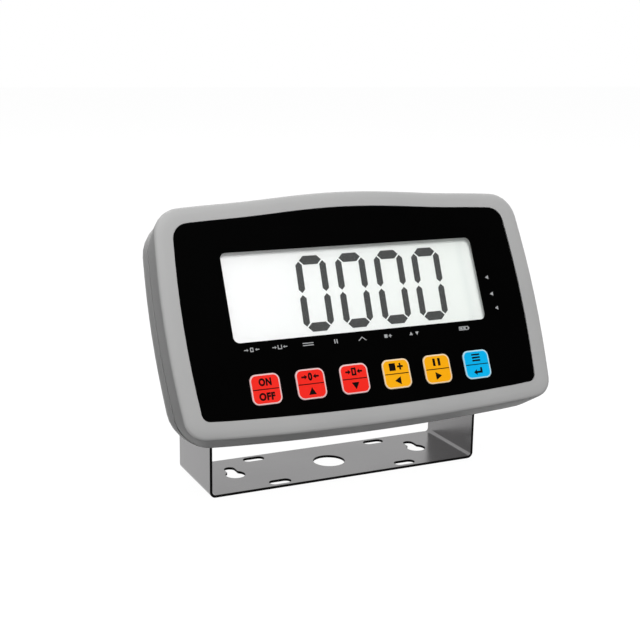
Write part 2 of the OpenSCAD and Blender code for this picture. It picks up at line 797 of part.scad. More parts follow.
module display_board_screws() {
    color(steel) in_housing() for (p = board_screw_places)
        pan_screw(p, board_back_y, board_t + board_edge, board_screw_r, board_head_r, screw_head_t);
}

module tact_switches() {
    color([0.15, 0.15, 0.15]) in_housing() for (i = [0:key_count - 1]) difference() {
        translate([key_x(i), 0, 0]) between(switch_y, board_y)
            square([switch_w, switch_w], center = true);
        bar([key_x(i), 0], switch_y - over, switch_y + plunger_deep + key_travel + seat_gap,
            plunger_r + pin_gap);
    }
}

// A key: its pad in the overlay, the flange that holds it in and the stem to its switch
module key(i) {
    color(key_colours[i]) in_housing() translate([key_x(i), 0, 0]) {
        between(-key_proud, panel_back_y + face_gap + merge) round_rect(key_w, key_h, key_r);
        between(panel_back_y + face_gap, panel_back_y + face_gap + key_flange_t)
            round_rect(key_w + 2 * key_flange, key_h + 2 * key_flange, key_r);
        bar([0, 0], panel_back_y + merge, plunger_y, key_stem_r);
    }
}

module plunger(i) {
    color([0.9, 0.9, 0.85]) in_housing()
        bar([key_x(i), 0], plunger_y, switch_y + plunger_deep, plunger_r);
}

module shell_screws() {
    color(steel) in_housing() for (p = shell_screw_places)
        pan_screw(p, rim_back_y - shell_head_sink, rim_back_y - shell_head_sink - panel_back_y - wall,
            shell_screw_r, shell_head_r, screw_head_t);
}

module main_board() {
    color([0.1, 0.4, 0.2]) in_housing() difference() {
        translate([(main_x0 + main_x1) / 2, 0, (main_z0 + main_z1) / 2])
            between(main_y, main_back_y) square([main_w, main_h], center = true);
        for (p = main_screw_places)
            bar(p, main_y - over, main_back_y + over, board_screw_r + 2 * pin_gap);
    }
}

module main_board_screws() {
    color(steel) in_housing() for (p = main_screw_places)
        translate([0, 2 * main_y, 0]) mirror([0, 1, 0])
            pan_screw(p, main_y, board_t + main_stand * 2 / 3, board_screw_r, board_head_r,
                screw_head_t);
}

module processor_chips() {
    color([0.08, 0.08, 0.08]) in_housing() {
        translate([main_x0 + main_w * 0.68, 0, main_z0 + main_h * 0.31])
            between(main_y - chip_t, main_y) square([chip_w, chip_w], center = true);
        translate([main_x0 + main_w * 0.7, 0, main_z0 + main_h * 0.09])
            between(main_y - chip_t, main_y) square([small_chip_w, small_chip_w], center = true);
    }
}

module capacitors() {
    color([0.1, 0.15, 0.35]) in_housing() for (share = [0.2, 0.4])
        bar([main_x0 + main_w * 0.36, main_z0 + main_h * share], main_y - cap_h, main_y, cap_r);
}

module buzzer() {
    color([0.06, 0.06, 0.06]) in_housing() difference() {
        bar([main_x0 + main_w * 0.62, main_z0 + main_h * 0.55], main_y - buzzer_h, main_y, buzzer_r);
        bar([main_x0 + main_w * 0.62, main_z0 + main_h * 0.55], main_y - buzzer_h - over,
            main_y - buzzer_h / 2, buzzer_hole_r);
    }
}

module board_headers() {
    color([0.92, 0.9, 0.84]) in_housing() {
        translate([header_x, 0, header_z]) {
            between(board_back_y, board_back_y + header_t)
                square([header_w, header_h], center = true);
            between(main_y - header_t, main_y) square([header_w, header_h], center = true);
        }
    }
}

// A flat cable between the two boards, swaying a little on its way
module ribbon_cable() {
    y0 = board_back_y + header_t;
    y1 = main_y - header_t;
    function sway(s) = ribbon_sway * pow(sin(180 * s), 2);
    function along(s) = y0 + (y1 - y0) * s;
    color([0.6, 0.6, 0.62]) in_housing() translate([header_x - ribbon_w / 2, 0, header_z])
        rotate([90, 0, 90]) linear_extrude(ribbon_w) polygon(concat(
            [for (i = [0:ribbon_steps]) let (s = i / ribbon_steps)
                [along(s), ribbon_t / 2 - sway(s)]],
            [for (i = [ribbon_steps:-1:0]) let (s = i / ribbon_steps)
                [along(s), -ribbon_t / 2 - sway(s)]]
        ));
}

module battery() {
    color([0.25, 0.26, 0.28]) in_housing() translate([battery_x, 0, battery_z])
        between(battery_y, battery_back_y) square([battery_w, battery_h], center = true);
}

module battery_terminals() {
    color("gold") in_housing() for (s = [-1, 1])
        translate([battery_x + battery_w / 2, terminal_y, battery_z + s * terminal_rise])
            translate([0, -terminal_t / 2, -terminal_w / 2])
                cube([terminal_l, terminal_t, terminal_w]);
}

// The two battery wires: a sleeve on each terminal, a bend and a run back to the board
module battery_leads() {
    x0 = battery_x + battery_w / 2 + terminal_l;
    x1 = x0 + sleeve_l + lead_bend_r;
    color([0.7, 0.1, 0.1]) in_housing() for (s = [-1, 1])
        translate([0, terminal_y, battery_z + s * terminal_rise]) {
            translate([x0, -sleeve_t / 2, -sleeve_w / 2]) cube([sleeve_l, sleeve_t, sleeve_w]);
            translate([x0 + sleeve_l, lead_bend_r, 0]) rotate([0, 0, -90])
                rotate_extrude(angle = 90) translate([lead_bend_r, 0]) circle(r = lead_r);
            translate([x1, lead_bend_r, 0]) rotate([-90, 0, 0])
                cylinder(h = main_y - terminal_y - lead_bend_r, r = lead_r);
        }
}

module battery_pad() {
    color([0.2, 0.2, 0.2]) in_housing() translate([battery_x, 0, battery_z])
        between(battery_back_y, battery_back_y + pad_t)
            square([battery_w * 0.8, battery_h * 0.8], center = true);
}

module battery_door() {
    color(shell_grey) in_housing() {
        translate([battery_x, 0, door_low_z]) linear_extrude(door_top_z - door_low_z)
            polygon([
                [-door_hw - dovetail, door_y + pin_gap],
                [door_hw + dovetail, door_y + pin_gap],
                [door_hw, hump_back_y],
                [-door_hw, hump_back_y]
            ]);
        for (i = [0:grip_count - 1])
            translate([battery_x, 0, door_top_z - (i + 3) * grip_pitch])
                between(hump_back_y - merge, hump_back_y + grip_t)
                    round_rect(grip_w, grip_h, grip_h / 4);
    }
}

module hexagon(flats) {
    circle(r = flats / sqrt(3), $fn = 6);
}

module gland_body() {
    back = hump_back_y + gland_flange_t;
    color([0.1, 0.1, 0.1]) in_housing() difference() {
        union() {
            bar([gland_x, socket_z], hump_inner_y - 2 * gland_nut_t, hump_back_y + merge,
                gland_thread_r);
            translate([gland_x, 0, socket_z]) between(hump_back_y, back) hexagon(gland_flats);
            bar([gland_x, socket_z], back - merge, back + gland_neck_l, gland_neck_r);
        }
        bar([gland_x, socket_z], hump_inner_y - 2 * gland_nut_t - over, back + gland_neck_l + over,
            cable_r + merge);
        bar([gland_x, socket_z], back + gland_neck_l - seal_l + cap_gap, back + gland_neck_l + over,
            gland_bore_r);
    }
}

module gland_cap() {
    front = hump_back_y + gland_flange_t + cap_gap;
    inner = hump_back_y + gland_flange_t + gland_neck_l + cap_gap;
    color([0.1, 0.1, 0.1]) in_housing() difference() {
        intersection() {
            translate([gland_x, 0, socket_z]) between(front, front + cap_l) hexagon(gland_flats);
            translate([gland_x, front, socket_z]) rotate([-90, 0, 0]) rotate_extrude()
                polygon([[0, 0], [gland_corner_r, 0], [gland_corner_r, cap_l * 0.55],
                         [cap_wall_r * 0.9, cap_l * 0.78], [cap_wall_r * 0.62, cap_l], [0, cap_l]]);
        }
        bar([gland_x, socket_z], front - over, inner, gland_neck_r + pin_gap);
        bar([gland_x, socket_z], front - over, front + cap_l + over, cap_hole_r);
    }
}

module gland_seal() {
    back = hump_back_y + gland_flange_t + gland_neck_l;
    color([0.2, 0.2, 0.2]) in_housing() difference() {
        bar([gland_x, socket_z], back - seal_l + cap_gap, back, gland_bore_r - pin_gap);
        bar([gland_x, socket_z], back - seal_l, back + over, cable_r);
    }
}

module gland_locknut() {
    color([0.1, 0.1, 0.1]) in_housing() difference() {
        translate([gland_x, 0, socket_z]) between(hump_inner_y - gland_nut_t, hump_inner_y)
            hexagon(gland_flats - wall);
        bar([gland_x, socket_z], hump_inner_y - gland_nut_t - over, hump_inner_y + over,
            gland_thread_r + pin_gap);
    }
}

module power_jack() {
    back = hump_back_y + jack_flange_t;
    color([0.08, 0.08, 0.08]) in_housing() difference() {
        union() {
            bar([jack_x, socket_z], back - jack_l, hump_back_y + merge, jack_r);
            bar([jack_x, socket_z], hump_back_y, back, jack_flange_r);
        }
        bar([jack_x, socket_z], back - jack_bore_l, back + over, jack_bore_r);
    }
}

module power_jack_pin() {
    back = hump_back_y + jack_flange_t;
    color("silver") in_housing()
        bar([jack_x, socket_z], back - jack_bore_l, back - merge, jack_pin_r);
}

module power_jack_nut() {
    color(steel) in_housing() difference() {
        bar([jack_x, socket_z], hump_inner_y - jack_nut_t, hump_inner_y, jack_nut_r);
        bar([jack_x, socket_z], hump_inner_y - jack_nut_t - over, hump_inner_y + over,
            jack_r + pin_gap);
    }
}

// What lies on the tilt axis is drawn on the right and mirrored to the left
module on_axis(x) {
    translate([x, 0, pivot_h]) rotate([0, 90, 0]) children();
}

module to_side(s) {
    if (s > 0) children();
    else mirror([1, 0, 0]) children();
}

module pivot_inserts() {
    color("goldenrod") for (s = [-1, 1]) to_side(s) on_axis(pivot_face_x - insert_l)
        difference() {
            cylinder(h = insert_l, r = insert_r);
            translate([0, 0, -over]) cylinder(h = insert_l + 2 * over, r = stud_r + pin_gap);
        }
}

module friction_washers() {
    color([0.15, 0.15, 0.15]) for (s = [-1, 1]) to_side(s) on_axis(pivot_face_x) difference() {
        cylinder(h = friction_t, r = friction_r);
        translate([0, 0, -over]) cylinder(h = friction_t + 2 * over, r = washer_hole_r);
    }
}

module knob(s) {
    color([0.1, 0.1, 0.1]) to_side(s) on_axis(knob_base_x) difference() {
        rotate_extrude() polygon([
            [0, 0], [knob_neck_r, 0], [knob_neck_r, knob_neck_l],
            [knob_r - knob_edge, knob_neck_l], [knob_r, knob_neck_l + knob_edge],
            [knob_r, knob_l - knob_edge], [knob_r - knob_edge, knob_l], [0, knob_l]
        ]);
        for (i = [0:knob_lobes - 1]) rotate([0, 0, i * 360 / knob_lobes])
            translate([knob_r + hollow_out, 0, knob_neck_l - over])
                cylinder(h = knob_l + 2 * over, r = hollow_r);
        translate([0, 0, -over])
            cylinder(h = over + knob_l * stud_bury_share, r = stud_r + pin_gap);
    }
}

module knob_stud(s) {
    x0 = pivot_face_x - stud_in;
    color(steel) to_side(s) on_axis(x0)
        cylinder(h = knob_base_x + knob_l * stud_bury_share - x0, r = stud_r);
}

module knob_washer(s) {
    color(steel) to_side(s) on_axis(bracket_w / 2 + face_gap) difference() {
        cylinder(h = washer_t, r = washer_r);
        translate([0, 0, -over]) cylinder(h = washer_t + 2 * over, r = washer_hole_r);
    }
}

bracket();
front_shell();
rear_shell();
housing_seal();
overlay();
window_lens();
lcd_glass();
lcd_segments();
lcd_frame();
lcd_diffuser();
lcd_contact_strips();
display_board();
display_board_screws();
tact_switches();
key(0);  // key_on_off
key(1);  // key_zero
key(2);  // key_tare
key(3);  // key_memory
key(4);  // key_hold
key(5);  // key_enter
plunger(0);  // plunger_on_off
plunger(1);  // plunger_zero
plunger(2);  // plunger_tare
plunger(3);  // plunger_memory
plunger(4);  // plunger_hold
plunger(5);  // plunger_enter
shell_screws();
main_board();
main_board_screws();
processor_chips();
capacitors();
buzzer();
board_headers();
ribbon_cable();
battery();
battery_terminals();
battery_leads();
battery_pad();
battery_door();
gland_body();
gland_cap();
gland_seal();
gland_locknut();
power_jack();
power_jack_pin();
power_jack_nut();
pivot_inserts();
friction_washers();
knob(-1);  // knob_left
knob_stud(-1);  // knob_stud_left
knob_washer(-1);  // knob_washer_left
knob(1);  // knob_right
knob_stud(1);  // knob_stud_right
knob_washer(1);  // knob_washer_right
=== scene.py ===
import json
import math

import bmesh
import bpy
from mathutils import Matrix, Vector


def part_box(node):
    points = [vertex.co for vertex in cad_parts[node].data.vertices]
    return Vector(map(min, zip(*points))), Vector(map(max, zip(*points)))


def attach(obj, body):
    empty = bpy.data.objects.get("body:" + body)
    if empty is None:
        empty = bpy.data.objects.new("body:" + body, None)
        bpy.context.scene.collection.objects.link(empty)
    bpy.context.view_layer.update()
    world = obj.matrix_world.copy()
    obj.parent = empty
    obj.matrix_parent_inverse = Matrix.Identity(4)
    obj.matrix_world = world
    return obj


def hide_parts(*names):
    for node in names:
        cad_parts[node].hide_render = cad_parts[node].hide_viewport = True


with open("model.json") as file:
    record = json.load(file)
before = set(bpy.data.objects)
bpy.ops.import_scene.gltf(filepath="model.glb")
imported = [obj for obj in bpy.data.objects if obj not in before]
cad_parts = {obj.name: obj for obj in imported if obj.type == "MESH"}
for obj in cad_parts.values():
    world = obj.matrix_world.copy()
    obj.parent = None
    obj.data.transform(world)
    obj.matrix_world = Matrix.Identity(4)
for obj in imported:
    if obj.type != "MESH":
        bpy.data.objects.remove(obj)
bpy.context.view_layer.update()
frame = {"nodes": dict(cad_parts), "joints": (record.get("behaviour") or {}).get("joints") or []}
nodes = frame["nodes"]
mm = 0.001
print("frame loaded:", len(nodes), "nodes")

# The housing is measured in millimetres behind its upright panel: x to the right, y back
# from the panel's face and z up from the row of keys. This puts it on the tilt axis.
housing = {"tilt": 26, "pivotBack": 43.3, "pivotUp": 40}
tiltJoint = next(j for j in frame["joints"] if j["name"] == "tilt")
pivotPlace = Vector(tiltJoint["pos_m"])
housingFrame = (
    Matrix.Translation(pivotPlace)
    @ Matrix.Rotation(-math.radians(housing["tilt"]), 4, "X")
    @ Matrix.Translation((0, -housing["pivotBack"] * mm, -housing["pivotUp"] * mm))
    @ Matrix.Scale(mm, 4)
)

# Camera, floor, world and lamps

cameraView = {"turn": -25.49, "rise": 13.173, "roll": 0.868, "lens": 65.79, "sensor": 36,
              "place": (-0.291757, -0.596603, 0.243418)}


def addCamera(view):
    turn, rise, roll = (math.radians(view[k]) for k in ("turn", "rise", "roll"))
    back = Vector((math.sin(turn) * math.cos(rise), -math.cos(turn) * math.cos(rise),
                   math.sin(rise)))
    right = Vector((math.cos(turn), math.sin(turn), 0))
    up = back.cross(right)
    rolledRight = math.cos(roll) * right + math.sin(roll) * up
    rolledUp = -math.sin(roll) * right + math.cos(roll) * up
    data = bpy.data.cameras.new("photoCamera")
    data.lens = view["lens"]
    data.sensor_width = view["sensor"]
    camera = bpy.data.objects.new("photoCamera", data)
    bpy.context.scene.collection.objects.link(camera)
    turnMatrix = Matrix((rolledRight, rolledUp, back)).transposed().to_4x4()
    camera.matrix_world = Matrix.Translation(view["place"]) @ turnMatrix
    bpy.context.scene.camera = camera


addCamera(cameraView)
bpy.context.scene.view_settings.view_transform = "Standard"

studio = {"ambient": 0.16, "floorSize": 12, "floorGrey": 0.09, "floorGlow": 0.97}
# place, point looked at, side length in metres, power in watts
lamps = {
    "keyLamp": ((-0.05, -1.45, 2.0), (0, 0, 0.1), 1.1, 38),
    "topLamp": ((-0.3, 0.1, 1.9), (0, 0, 0.1), 1.0, 11),
    "backLamp": ((0.2, 1.3, 2.0), (0, 0, 0.1), 0.9, 10),
}


def addMath(tree, operation, first, second=None):
    node = tree.nodes.new("ShaderNodeMath")
    node.operation = operation
    for socket, value in zip(node.inputs, (first, second)):
        if value is None:
            continue
        if isinstance(value, (int, float)):
            socket.default_value = value
        else:
            tree.links.new(value, socket)
    return node.outputs[0]


def addRays(tree, *kinds):
    # 1 for the named kinds of ray and 0 for all others
    paths = tree.nodes.new("ShaderNodeLightPath")
    outputs = [paths.outputs["Is " + kind + " Ray"] for kind in kinds]
    seen = outputs[0]
    for output in outputs[1:]:
        seen = addMath(tree, "MAXIMUM", seen, output)
    return seen


def addWorld():
    world = bpy.data.worlds.new("paleStudio")
    bpy.context.scene.world = world
    world.use_nodes = True
    tree = world.node_tree
    tree.nodes.clear()
    soft = tree.nodes.new("ShaderNodeBackground")
    soft.inputs["Strength"].default_value = studio["ambient"]
    white = tree.nodes.new("ShaderNodeBackground")
    white.inputs["Strength"].default_value = 1
    for shader in (soft, white):
        shader.inputs["Color"].default_value = (1, 1, 1, 1)
    mix = tree.nodes.new("ShaderNodeMixShader")
    tree.links.new(addRays(tree, "Camera", "Glossy", "Transmission"), mix.inputs["Fac"])
    tree.links.new(soft.outputs[0], mix.inputs[1])
    tree.links.new(white.outputs[0], mix.inputs[2])
    out = tree.nodes.new("ShaderNodeOutputWorld")
    tree.links.new(mix.outputs[0], out.inputs["Surface"])


def addFloor():
    bm = bmesh.new()
    bmesh.ops.create_grid(bm, x_segments=1, y_segments=1, size=studio["floorSize"] / 2)
    mesh = bpy.data.meshes.new("studioFloor")
    bm.to_mesh(mesh)
    bm.free()
    floor = bpy.data.objects.new("studioFloor", mesh)
    bpy.context.scene.collection.objects.link(floor)
    material = bpy.data.materials.new("paleFloor")
    material.use_nodes = True
    tree = material.node_tree
    tree.nodes.clear()
    matt = tree.nodes.new("ShaderNodeBsdfDiffuse")
    matt.inputs["Color"].default_value = (studio["floorGrey"],) * 3 + (1,)
    glow = tree.nodes.new("ShaderNodeEmission")
    glow.inputs["Color"].default_value = (1, 1, 1, 1)
    strength = addMath(tree, "MULTIPLY", addRays(tree, "Camera", "Glossy"), studio["floorGlow"])
    tree.links.new(strength, glow.inputs["Strength"])
    both = tree.nodes.new("ShaderNodeAddShader")
    tree.links.new(matt.outputs[0], both.inputs[0])
    tree.links.new(glow.outputs[0], both.inputs[1])
    out = tree.nodes.new("ShaderNodeOutputMaterial")
    tree.links.new(both.outputs[0], out.inputs["Surface"])
    mesh.materials.append(material)


def addLamps():
    for name, (place, target, side, power) in lamps.items():
        data = bpy.data.lights.new(name, "AREA")
        data.size = side
        data.energy = power
        lamp = bpy.data.objects.new(name, data)
        bpy.context.scene.collection.objects.link(lamp)
        lamp.location = place
        lamp.rotation_euler = (Vector(target) - Vector(place)).to_track_quat("-Z", "Y").to_euler()


addWorld()
addFloor()
addLamps()
print("camera, floor and lamps set")

# Shared shader groups


def addGroup(name, inputs, outputs):
    group = bpy.data.node_groups.new(name, "ShaderNodeTree")
    for label, kind, value in inputs:
        socket = group.interface.new_socket(name=label, in_out="INPUT", socket_type=kind)
        if value is not None:
            socket.default_value = value
    for label, kind in outputs:
        group.interface.new_socket(name=label, in_out="OUTPUT", socket_type=kind)
    return group, group.nodes.new("NodeGroupInput"), group.nodes.new("NodeGroupOutput")


def addNoise(tree, vector, scale, detail=3.0, roughness=0.55):
    node = tree.nodes.new("ShaderNodeTexNoise")
    node.inputs["Detail"].default_value = detail
    node.inputs["Roughness"].default_value = roughness
    tree.links.new(vector, node.inputs["Vector"])
    if isinstance(scale, (int, float)):
        node.inputs["Scale"].default_value = scale
    else:
        tree.links.new(scale, node.inputs["Scale"])
    return node.outputs["Fac"]


def makeMouldGrain():
    # The fine texture of a moulding: a height for the bump and a slow, cloudy mask
    group, given, made = addGroup(
        "mouldGrain",
        [("Vector", "NodeSocketVector", None), ("Grain Scale", "NodeSocketFloat", 2500.0),
         ("Cloud Scale", "NodeSocketFloat", 25.0)],
        [("Height", "NodeSocketFloat"), ("Mask", "NodeSocketFloat")])
    fine = addNoise(group, given.outputs["Vector"], given.outputs["Grain Scale"], 2.0)
    cloud = addNoise(group, given.outputs["Vector"], given.outputs["Cloud Scale"], 4.0)
    group.links.new(fine, made.inputs["Height"])
    group.links.new(addMath(group, "ADD", addMath(group, "MULTIPLY", cloud, 0.75),
                            addMath(group, "MULTIPLY", fine, 0.25)), made.inputs["Mask"])
    return group


def makeRolledStreaks():
    # Rolling marks that run along the sheet, up the arms and across the plate
    group, given, made = addGroup(
        "rolledStreaks",
        [("Vector", "NodeSocketVector", None), ("Along Scale", "NodeSocketFloat", 12.0),
         ("Across Scale", "NodeSocketFloat", 900.0)],
        [("Height", "NodeSocketFloat"), ("Mask", "NodeSocketFloat")])
    parts = group.nodes.new("ShaderNodeSeparateXYZ")
    group.links.new(given.outputs["Vector"], parts.inputs[0])
    along = addMath(group, "ADD", addMath(group, "ABSOLUTE", parts.outputs["X"]),
                    parts.outputs["Z"])
    joined = group.nodes.new("ShaderNodeCombineXYZ")
    group.links.new(addMath(group, "MULTIPLY", along, given.outputs["Along Scale"]),
                    joined.inputs["X"])
    group.links.new(addMath(group, "MULTIPLY", parts.outputs["Y"], given.outputs["Across Scale"]),
                    joined.inputs["Y"])
    streak = addNoise(group, joined.outputs[0], 1.0, 4.0)
    cloud = addNoise(group, given.outputs["Vector"], 18.0, 3.0)
    group.links.new(streak, made.inputs["Height"])
    group.links.new(addMath(group, "ADD", addMath(group, "MULTIPLY", cloud, 0.6),
                            addMath(group, "MULTIPLY", streak, 0.4)), made.inputs["Mask"])
    return group


def makeSettledDust():
    # A thin film of dust where a surface looks up
    group, given, made = addGroup(
        "settledDust",
        [("Vector", "NodeSocketVector", None), ("Amount", "NodeSocketFloat", 0.1)],
        [("Mask", "NodeSocketFloat")])
    normal = group.nodes.new("ShaderNodeNewGeometry")
    parts = group.nodes.new("ShaderNodeSeparateXYZ")
    group.links.new(normal.outputs["Normal"], parts.inputs[0])
    up = addMath(group, "MAXIMUM", parts.outputs["Z"], 0.0)
    cloud = addNoise(group, given.outputs["Vector"], 60.0, 5.0)
    patch = addMath(group, "MULTIPLY", addMath(group, "MULTIPLY", up, cloud),
                    given.outputs["Amount"])
    group.links.new(patch, made.inputs["Mask"])
    return group


sharedGroups = {"mould": makeMouldGrain(), "rolled": makeRolledStreaks(),
                "dust": makeSettledDust()}


def addSharedGroup(tree, key, vector, values):
    node = tree.nodes.new("ShaderNodeGroup")
    node.node_tree = sharedGroups[key]
    tree.links.new(vector, node.inputs["Vector"])
    for label, value in values.items():
        node.inputs[label].default_value = value
    return node


# Materials

# Colour, the colour it drifts to, roughness from and to, then the bump and its grain, and what
# is set on the shader itself
finishes = {
    "shellGrey": {
        "colour": (0.43, 0.43, 0.43), "drift": (0.47, 0.47, 0.468),
        "rough": (0.42, 0.55), "bump": 0.12, "grain": 2600, "shine": 0.4, "dust": 0.06},
    # The rear shell and battery door take the front shell's grey painted lighter: painted light on
    # the same plastic
    "rearGreyPaintedLight": {
        "colour": (0.50, 0.50, 0.50), "drift": (0.54, 0.54, 0.538),
        "rough": (0.42, 0.55), "bump": 0.14, "grain": 2600, "shine": 0.4, "dust": 0.06},
    "panelBlack": {
        "colour": (0.0004, 0.0004, 0.0004), "drift": (0.0009, 0.0009, 0.0009),
        "rough": (0.42, 0.52), "bump": 0.03, "grain": 3500, "shine": 0.006},
    "segmentDark": {
        "colour": (0.03, 0.031, 0.0305), "drift": (0.04, 0.041, 0.0405),
        "rough": (0.5, 0.6), "bump": 0.02, "grain": 3000, "shine": 0.1},
    "whitePlastic": {
        "colour": (0.80, 0.80, 0.77), "drift": (0.86, 0.86, 0.84),
        "rough": (0.35, 0.5), "bump": 0.08, "grain": 2200, "shine": 0.4},
    "sealRubber": {
        "colour": (0.012, 0.012, 0.012), "drift": (0.03, 0.03, 0.03),
        "rough": (0.7, 0.9), "bump": 0.2, "grain": 1800, "shine": 0.3},
    "contactRubber": {
        "colour": (0.10, 0.10, 0.11), "drift": (0.2, 0.2, 0.21),
        "rough": (0.6, 0.8), "bump": 0.15, "grain": 1800, "shine": 0.3},
    "blackPlastic": {
        "colour": (0.012, 0.012, 0.013), "drift": (0.028, 0.028, 0.03),
        "rough": (0.38, 0.55), "bump": 0.18, "grain": 2200, "shine": 0.45, "dust": 0.08},
    "chipBlack": {
        "colour": (0.01, 0.01, 0.01), "drift": (0.02, 0.02, 0.02),
        "rough": (0.5, 0.65), "bump": 0.2, "grain": 4000, "shine": 0.4},
    # The keys' glow is painted light: the keys are no lamps
    "keyRed": {
        "colour": (0.93, 0.020, 0.012), "drift": (0.97, 0.028, 0.018),
        "rough": (0.32, 0.42), "bump": 0.05, "grain": 3200, "shine": 0.07, "glow": 0.12},
    "keyAmber": {
        "colour": (1.0, 0.42, 0.004), "drift": (1.0, 0.46, 0.006),
        "rough": (0.32, 0.42), "bump": 0.05, "grain": 3200, "shine": 0.07, "glow": 0.12},
    "keyBlue": {
        "colour": (0.001, 0.44, 0.84), "drift": (0.003, 0.48, 0.9),
        "rough": (0.32, 0.42), "bump": 0.05, "grain": 3200, "shine": 0.07, "glow": 0.12},
    "borderRose": {
        "colour": (0.90, 0.58, 0.58), "drift": (0.95, 0.66, 0.65),
        "rough": (0.35, 0.45), "bump": 0.04, "grain": 3200, "shine": 0.1},
    "borderCream": {
        "colour": (0.98, 0.74, 0.46), "drift": (1.0, 0.80, 0.54),
        "rough": (0.35, 0.45), "bump": 0.04, "grain": 3200, "shine": 0.1},
    "borderSky": {
        "colour": (0.50, 0.80, 0.93), "drift": (0.58, 0.86, 0.98),
        "rough": (0.35, 0.45), "bump": 0.04, "grain": 3200, "shine": 0.1},
    "legendBlack": {
        "colour": (0.002, 0.001, 0.001), "drift": (0.005, 0.003, 0.003),
        "rough": (0.45, 0.6), "bump": 0.03, "grain": 3000, "shine": 0.03},
    "printWhite": {
        "colour": (0.42, 0.43, 0.44), "drift": (0.52, 0.53, 0.54),
        "rough": (0.5, 0.6), "bump": 0.03, "grain": 3000, "shine": 0.15},
    "plungerIvory": {
        "colour": (0.74, 0.72, 0.64), "drift": (0.8, 0.78, 0.71),
        "rough": (0.4, 0.5), "bump": 0.06, "grain": 2400, "shine": 0.4},
    "canBlue": {
        "colour": (0.015, 0.035, 0.16), "drift": (0.03, 0.06, 0.22),
        "rough": (0.3, 0.4), "bump": 0.04, "grain": 1500, "shine": 0.5},
    "batteryCase": {
        "colour": (0.025, 0.028, 0.033), "drift": (0.045, 0.048, 0.054),
        "rough": (0.45, 0.62), "bump": 0.22, "grain": 1700, "shine": 0.4},
    "brass": {
        "colour": (0.62, 0.42, 0.13), "drift": (0.7, 0.5, 0.2),
        "rough": (0.22, 0.38), "bump": 0.06, "grain": 1800, "metal": 1.0},
    "wireRed": {
        "colour": (0.42, 0.015, 0.012), "drift": (0.52, 0.03, 0.022),
        "rough": (0.35, 0.45), "bump": 0.04, "grain": 1500, "shine": 0.45},
    "padFoam": {
        "colour": (0.015, 0.015, 0.016), "drift": (0.05, 0.05, 0.052),
        "rough": (0.85, 0.98), "bump": 0.6, "grain": 1200, "shine": 0.1},
    "zincSteel": {
        "colour": (0.48, 0.49, 0.51), "drift": (0.60, 0.60, 0.60),
        "rough": (0.2, 0.4), "bump": 0.08, "grain": 1400, "metal": 1.0},
    "cutEdge": {
        "colour": (0.001, 0.001, 0.001), "drift": (0.005, 0.0045, 0.0045),
        "rough": (0.45, 0.65), "bump": 0.2, "grain": 1600, "cloud": 90, "shine": 0.05},
}


def startMaterial(name):
    material = bpy.data.materials.new(name)
    material.use_nodes = True
    tree = material.node_tree
    shader = next(n for n in tree.nodes if n.type == "BSDF_PRINCIPLED")
    coords = tree.nodes.new("ShaderNodeTexCoord")
    return material, tree, shader, coords.outputs["Object"]


def addColourMix(tree, factor, first, second):
    mix = tree.nodes.new("ShaderNodeMix")
    mix.data_type = "RGBA"
    if factor is not None:
        tree.links.new(factor, mix.inputs["Factor"])
    for label, value in (("A", first), ("B", second)):
        socket = next(s for s in mix.inputs if s.name == label and s.type == "RGBA")
        if isinstance(value, tuple):
            socket.default_value = value + (1,)
        else:
            tree.links.new(value, socket)
    return next(s for s in mix.outputs if s.type == "RGBA")


noiseSpan = (0.3, 0.7)


def addRange(tree, value, low, high):
    # Spreads the middle of a noise over a range
    node = tree.nodes.new("ShaderNodeMapRange")
    node.inputs["From Min"].default_value, node.inputs["From Max"].default_value = noiseSpan
    node.inputs["To Min"].default_value = low
    node.inputs["To Max"].default_value = high
    tree.links.new(value, node.inputs["Value"])
    return node.outputs[0]


def addBump(tree, shader, height, strength, distance=0.0001):
    bump = tree.nodes.new("ShaderNodeBump")
    bump.inputs["Strength"].default_value = strength
    bump.inputs["Distance"].default_value = distance
    tree.links.new(height, bump.inputs["Height"])
    tree.links.new(bump.outputs["Normal"], shader.inputs["Normal"])


dustColour = (0.6, 0.58, 0.54)


def addGrain(tree, place, look):
    values = {"Grain Scale": look["grain"]}
    if "cloud" in look:
        values["Cloud Scale"] = look["cloud"]
    return addSharedGroup(tree, "mould", place, values)


def addDrift(tree, mask, look):
    return addColourMix(tree, addRange(tree, mask, 0, 1), look["colour"], look["drift"])


def makeFinish(name, look):
    material, tree, shader, place = startMaterial(name)
    grain = addGrain(tree, place, look)
    colour = addDrift(tree, grain.outputs["Mask"], look)
    if look.get("dust"):
        dust = addSharedGroup(tree, "dust", place, {"Amount": look["dust"]})
        colour = addColourMix(tree, dust.outputs["Mask"], colour, dustColour)
    tree.links.new(colour, shader.inputs["Base Color"])
    tree.links.new(addRange(tree, grain.outputs["Mask"], *look["rough"]),
                   shader.inputs["Roughness"])
    addBump(tree, shader, grain.outputs["Height"], look["bump"])
    shader.inputs["Metallic"].default_value = look.get("metal", 0.0)
    shader.inputs["Specular IOR Level"].default_value = look.get("shine", 0.5)
    # A glow is painted light on parts that are no lamps
    if look.get("glow"):
        tree.links.new(colour, shader.inputs["Emission Color"])
        shader.inputs["Emission Strength"].default_value = look["glow"]
    return material


steelLook = {"colour": (0.19, 0.187, 0.19), "drift": (0.23, 0.226, 0.228), "rough": (0.17, 0.26),
             "bump": 0.03, "bumpDepth": 0.00004}


def makeSatinSteel():
    # Rolled sheet that mirrors what stands on it
    look = steelLook
    material, tree, shader, place = startMaterial("satinSteel")
    streaks = addSharedGroup(tree, "rolled", place, {})
    mask = streaks.outputs["Mask"]
    tree.links.new(addDrift(tree, mask, look), shader.inputs["Base Color"])
    tree.links.new(addRange(tree, mask, *look["rough"]), shader.inputs["Roughness"])
    addBump(tree, shader, streaks.outputs["Height"], look["bump"], look["bumpDepth"])
    shader.inputs["Metallic"].default_value = 1
    return material
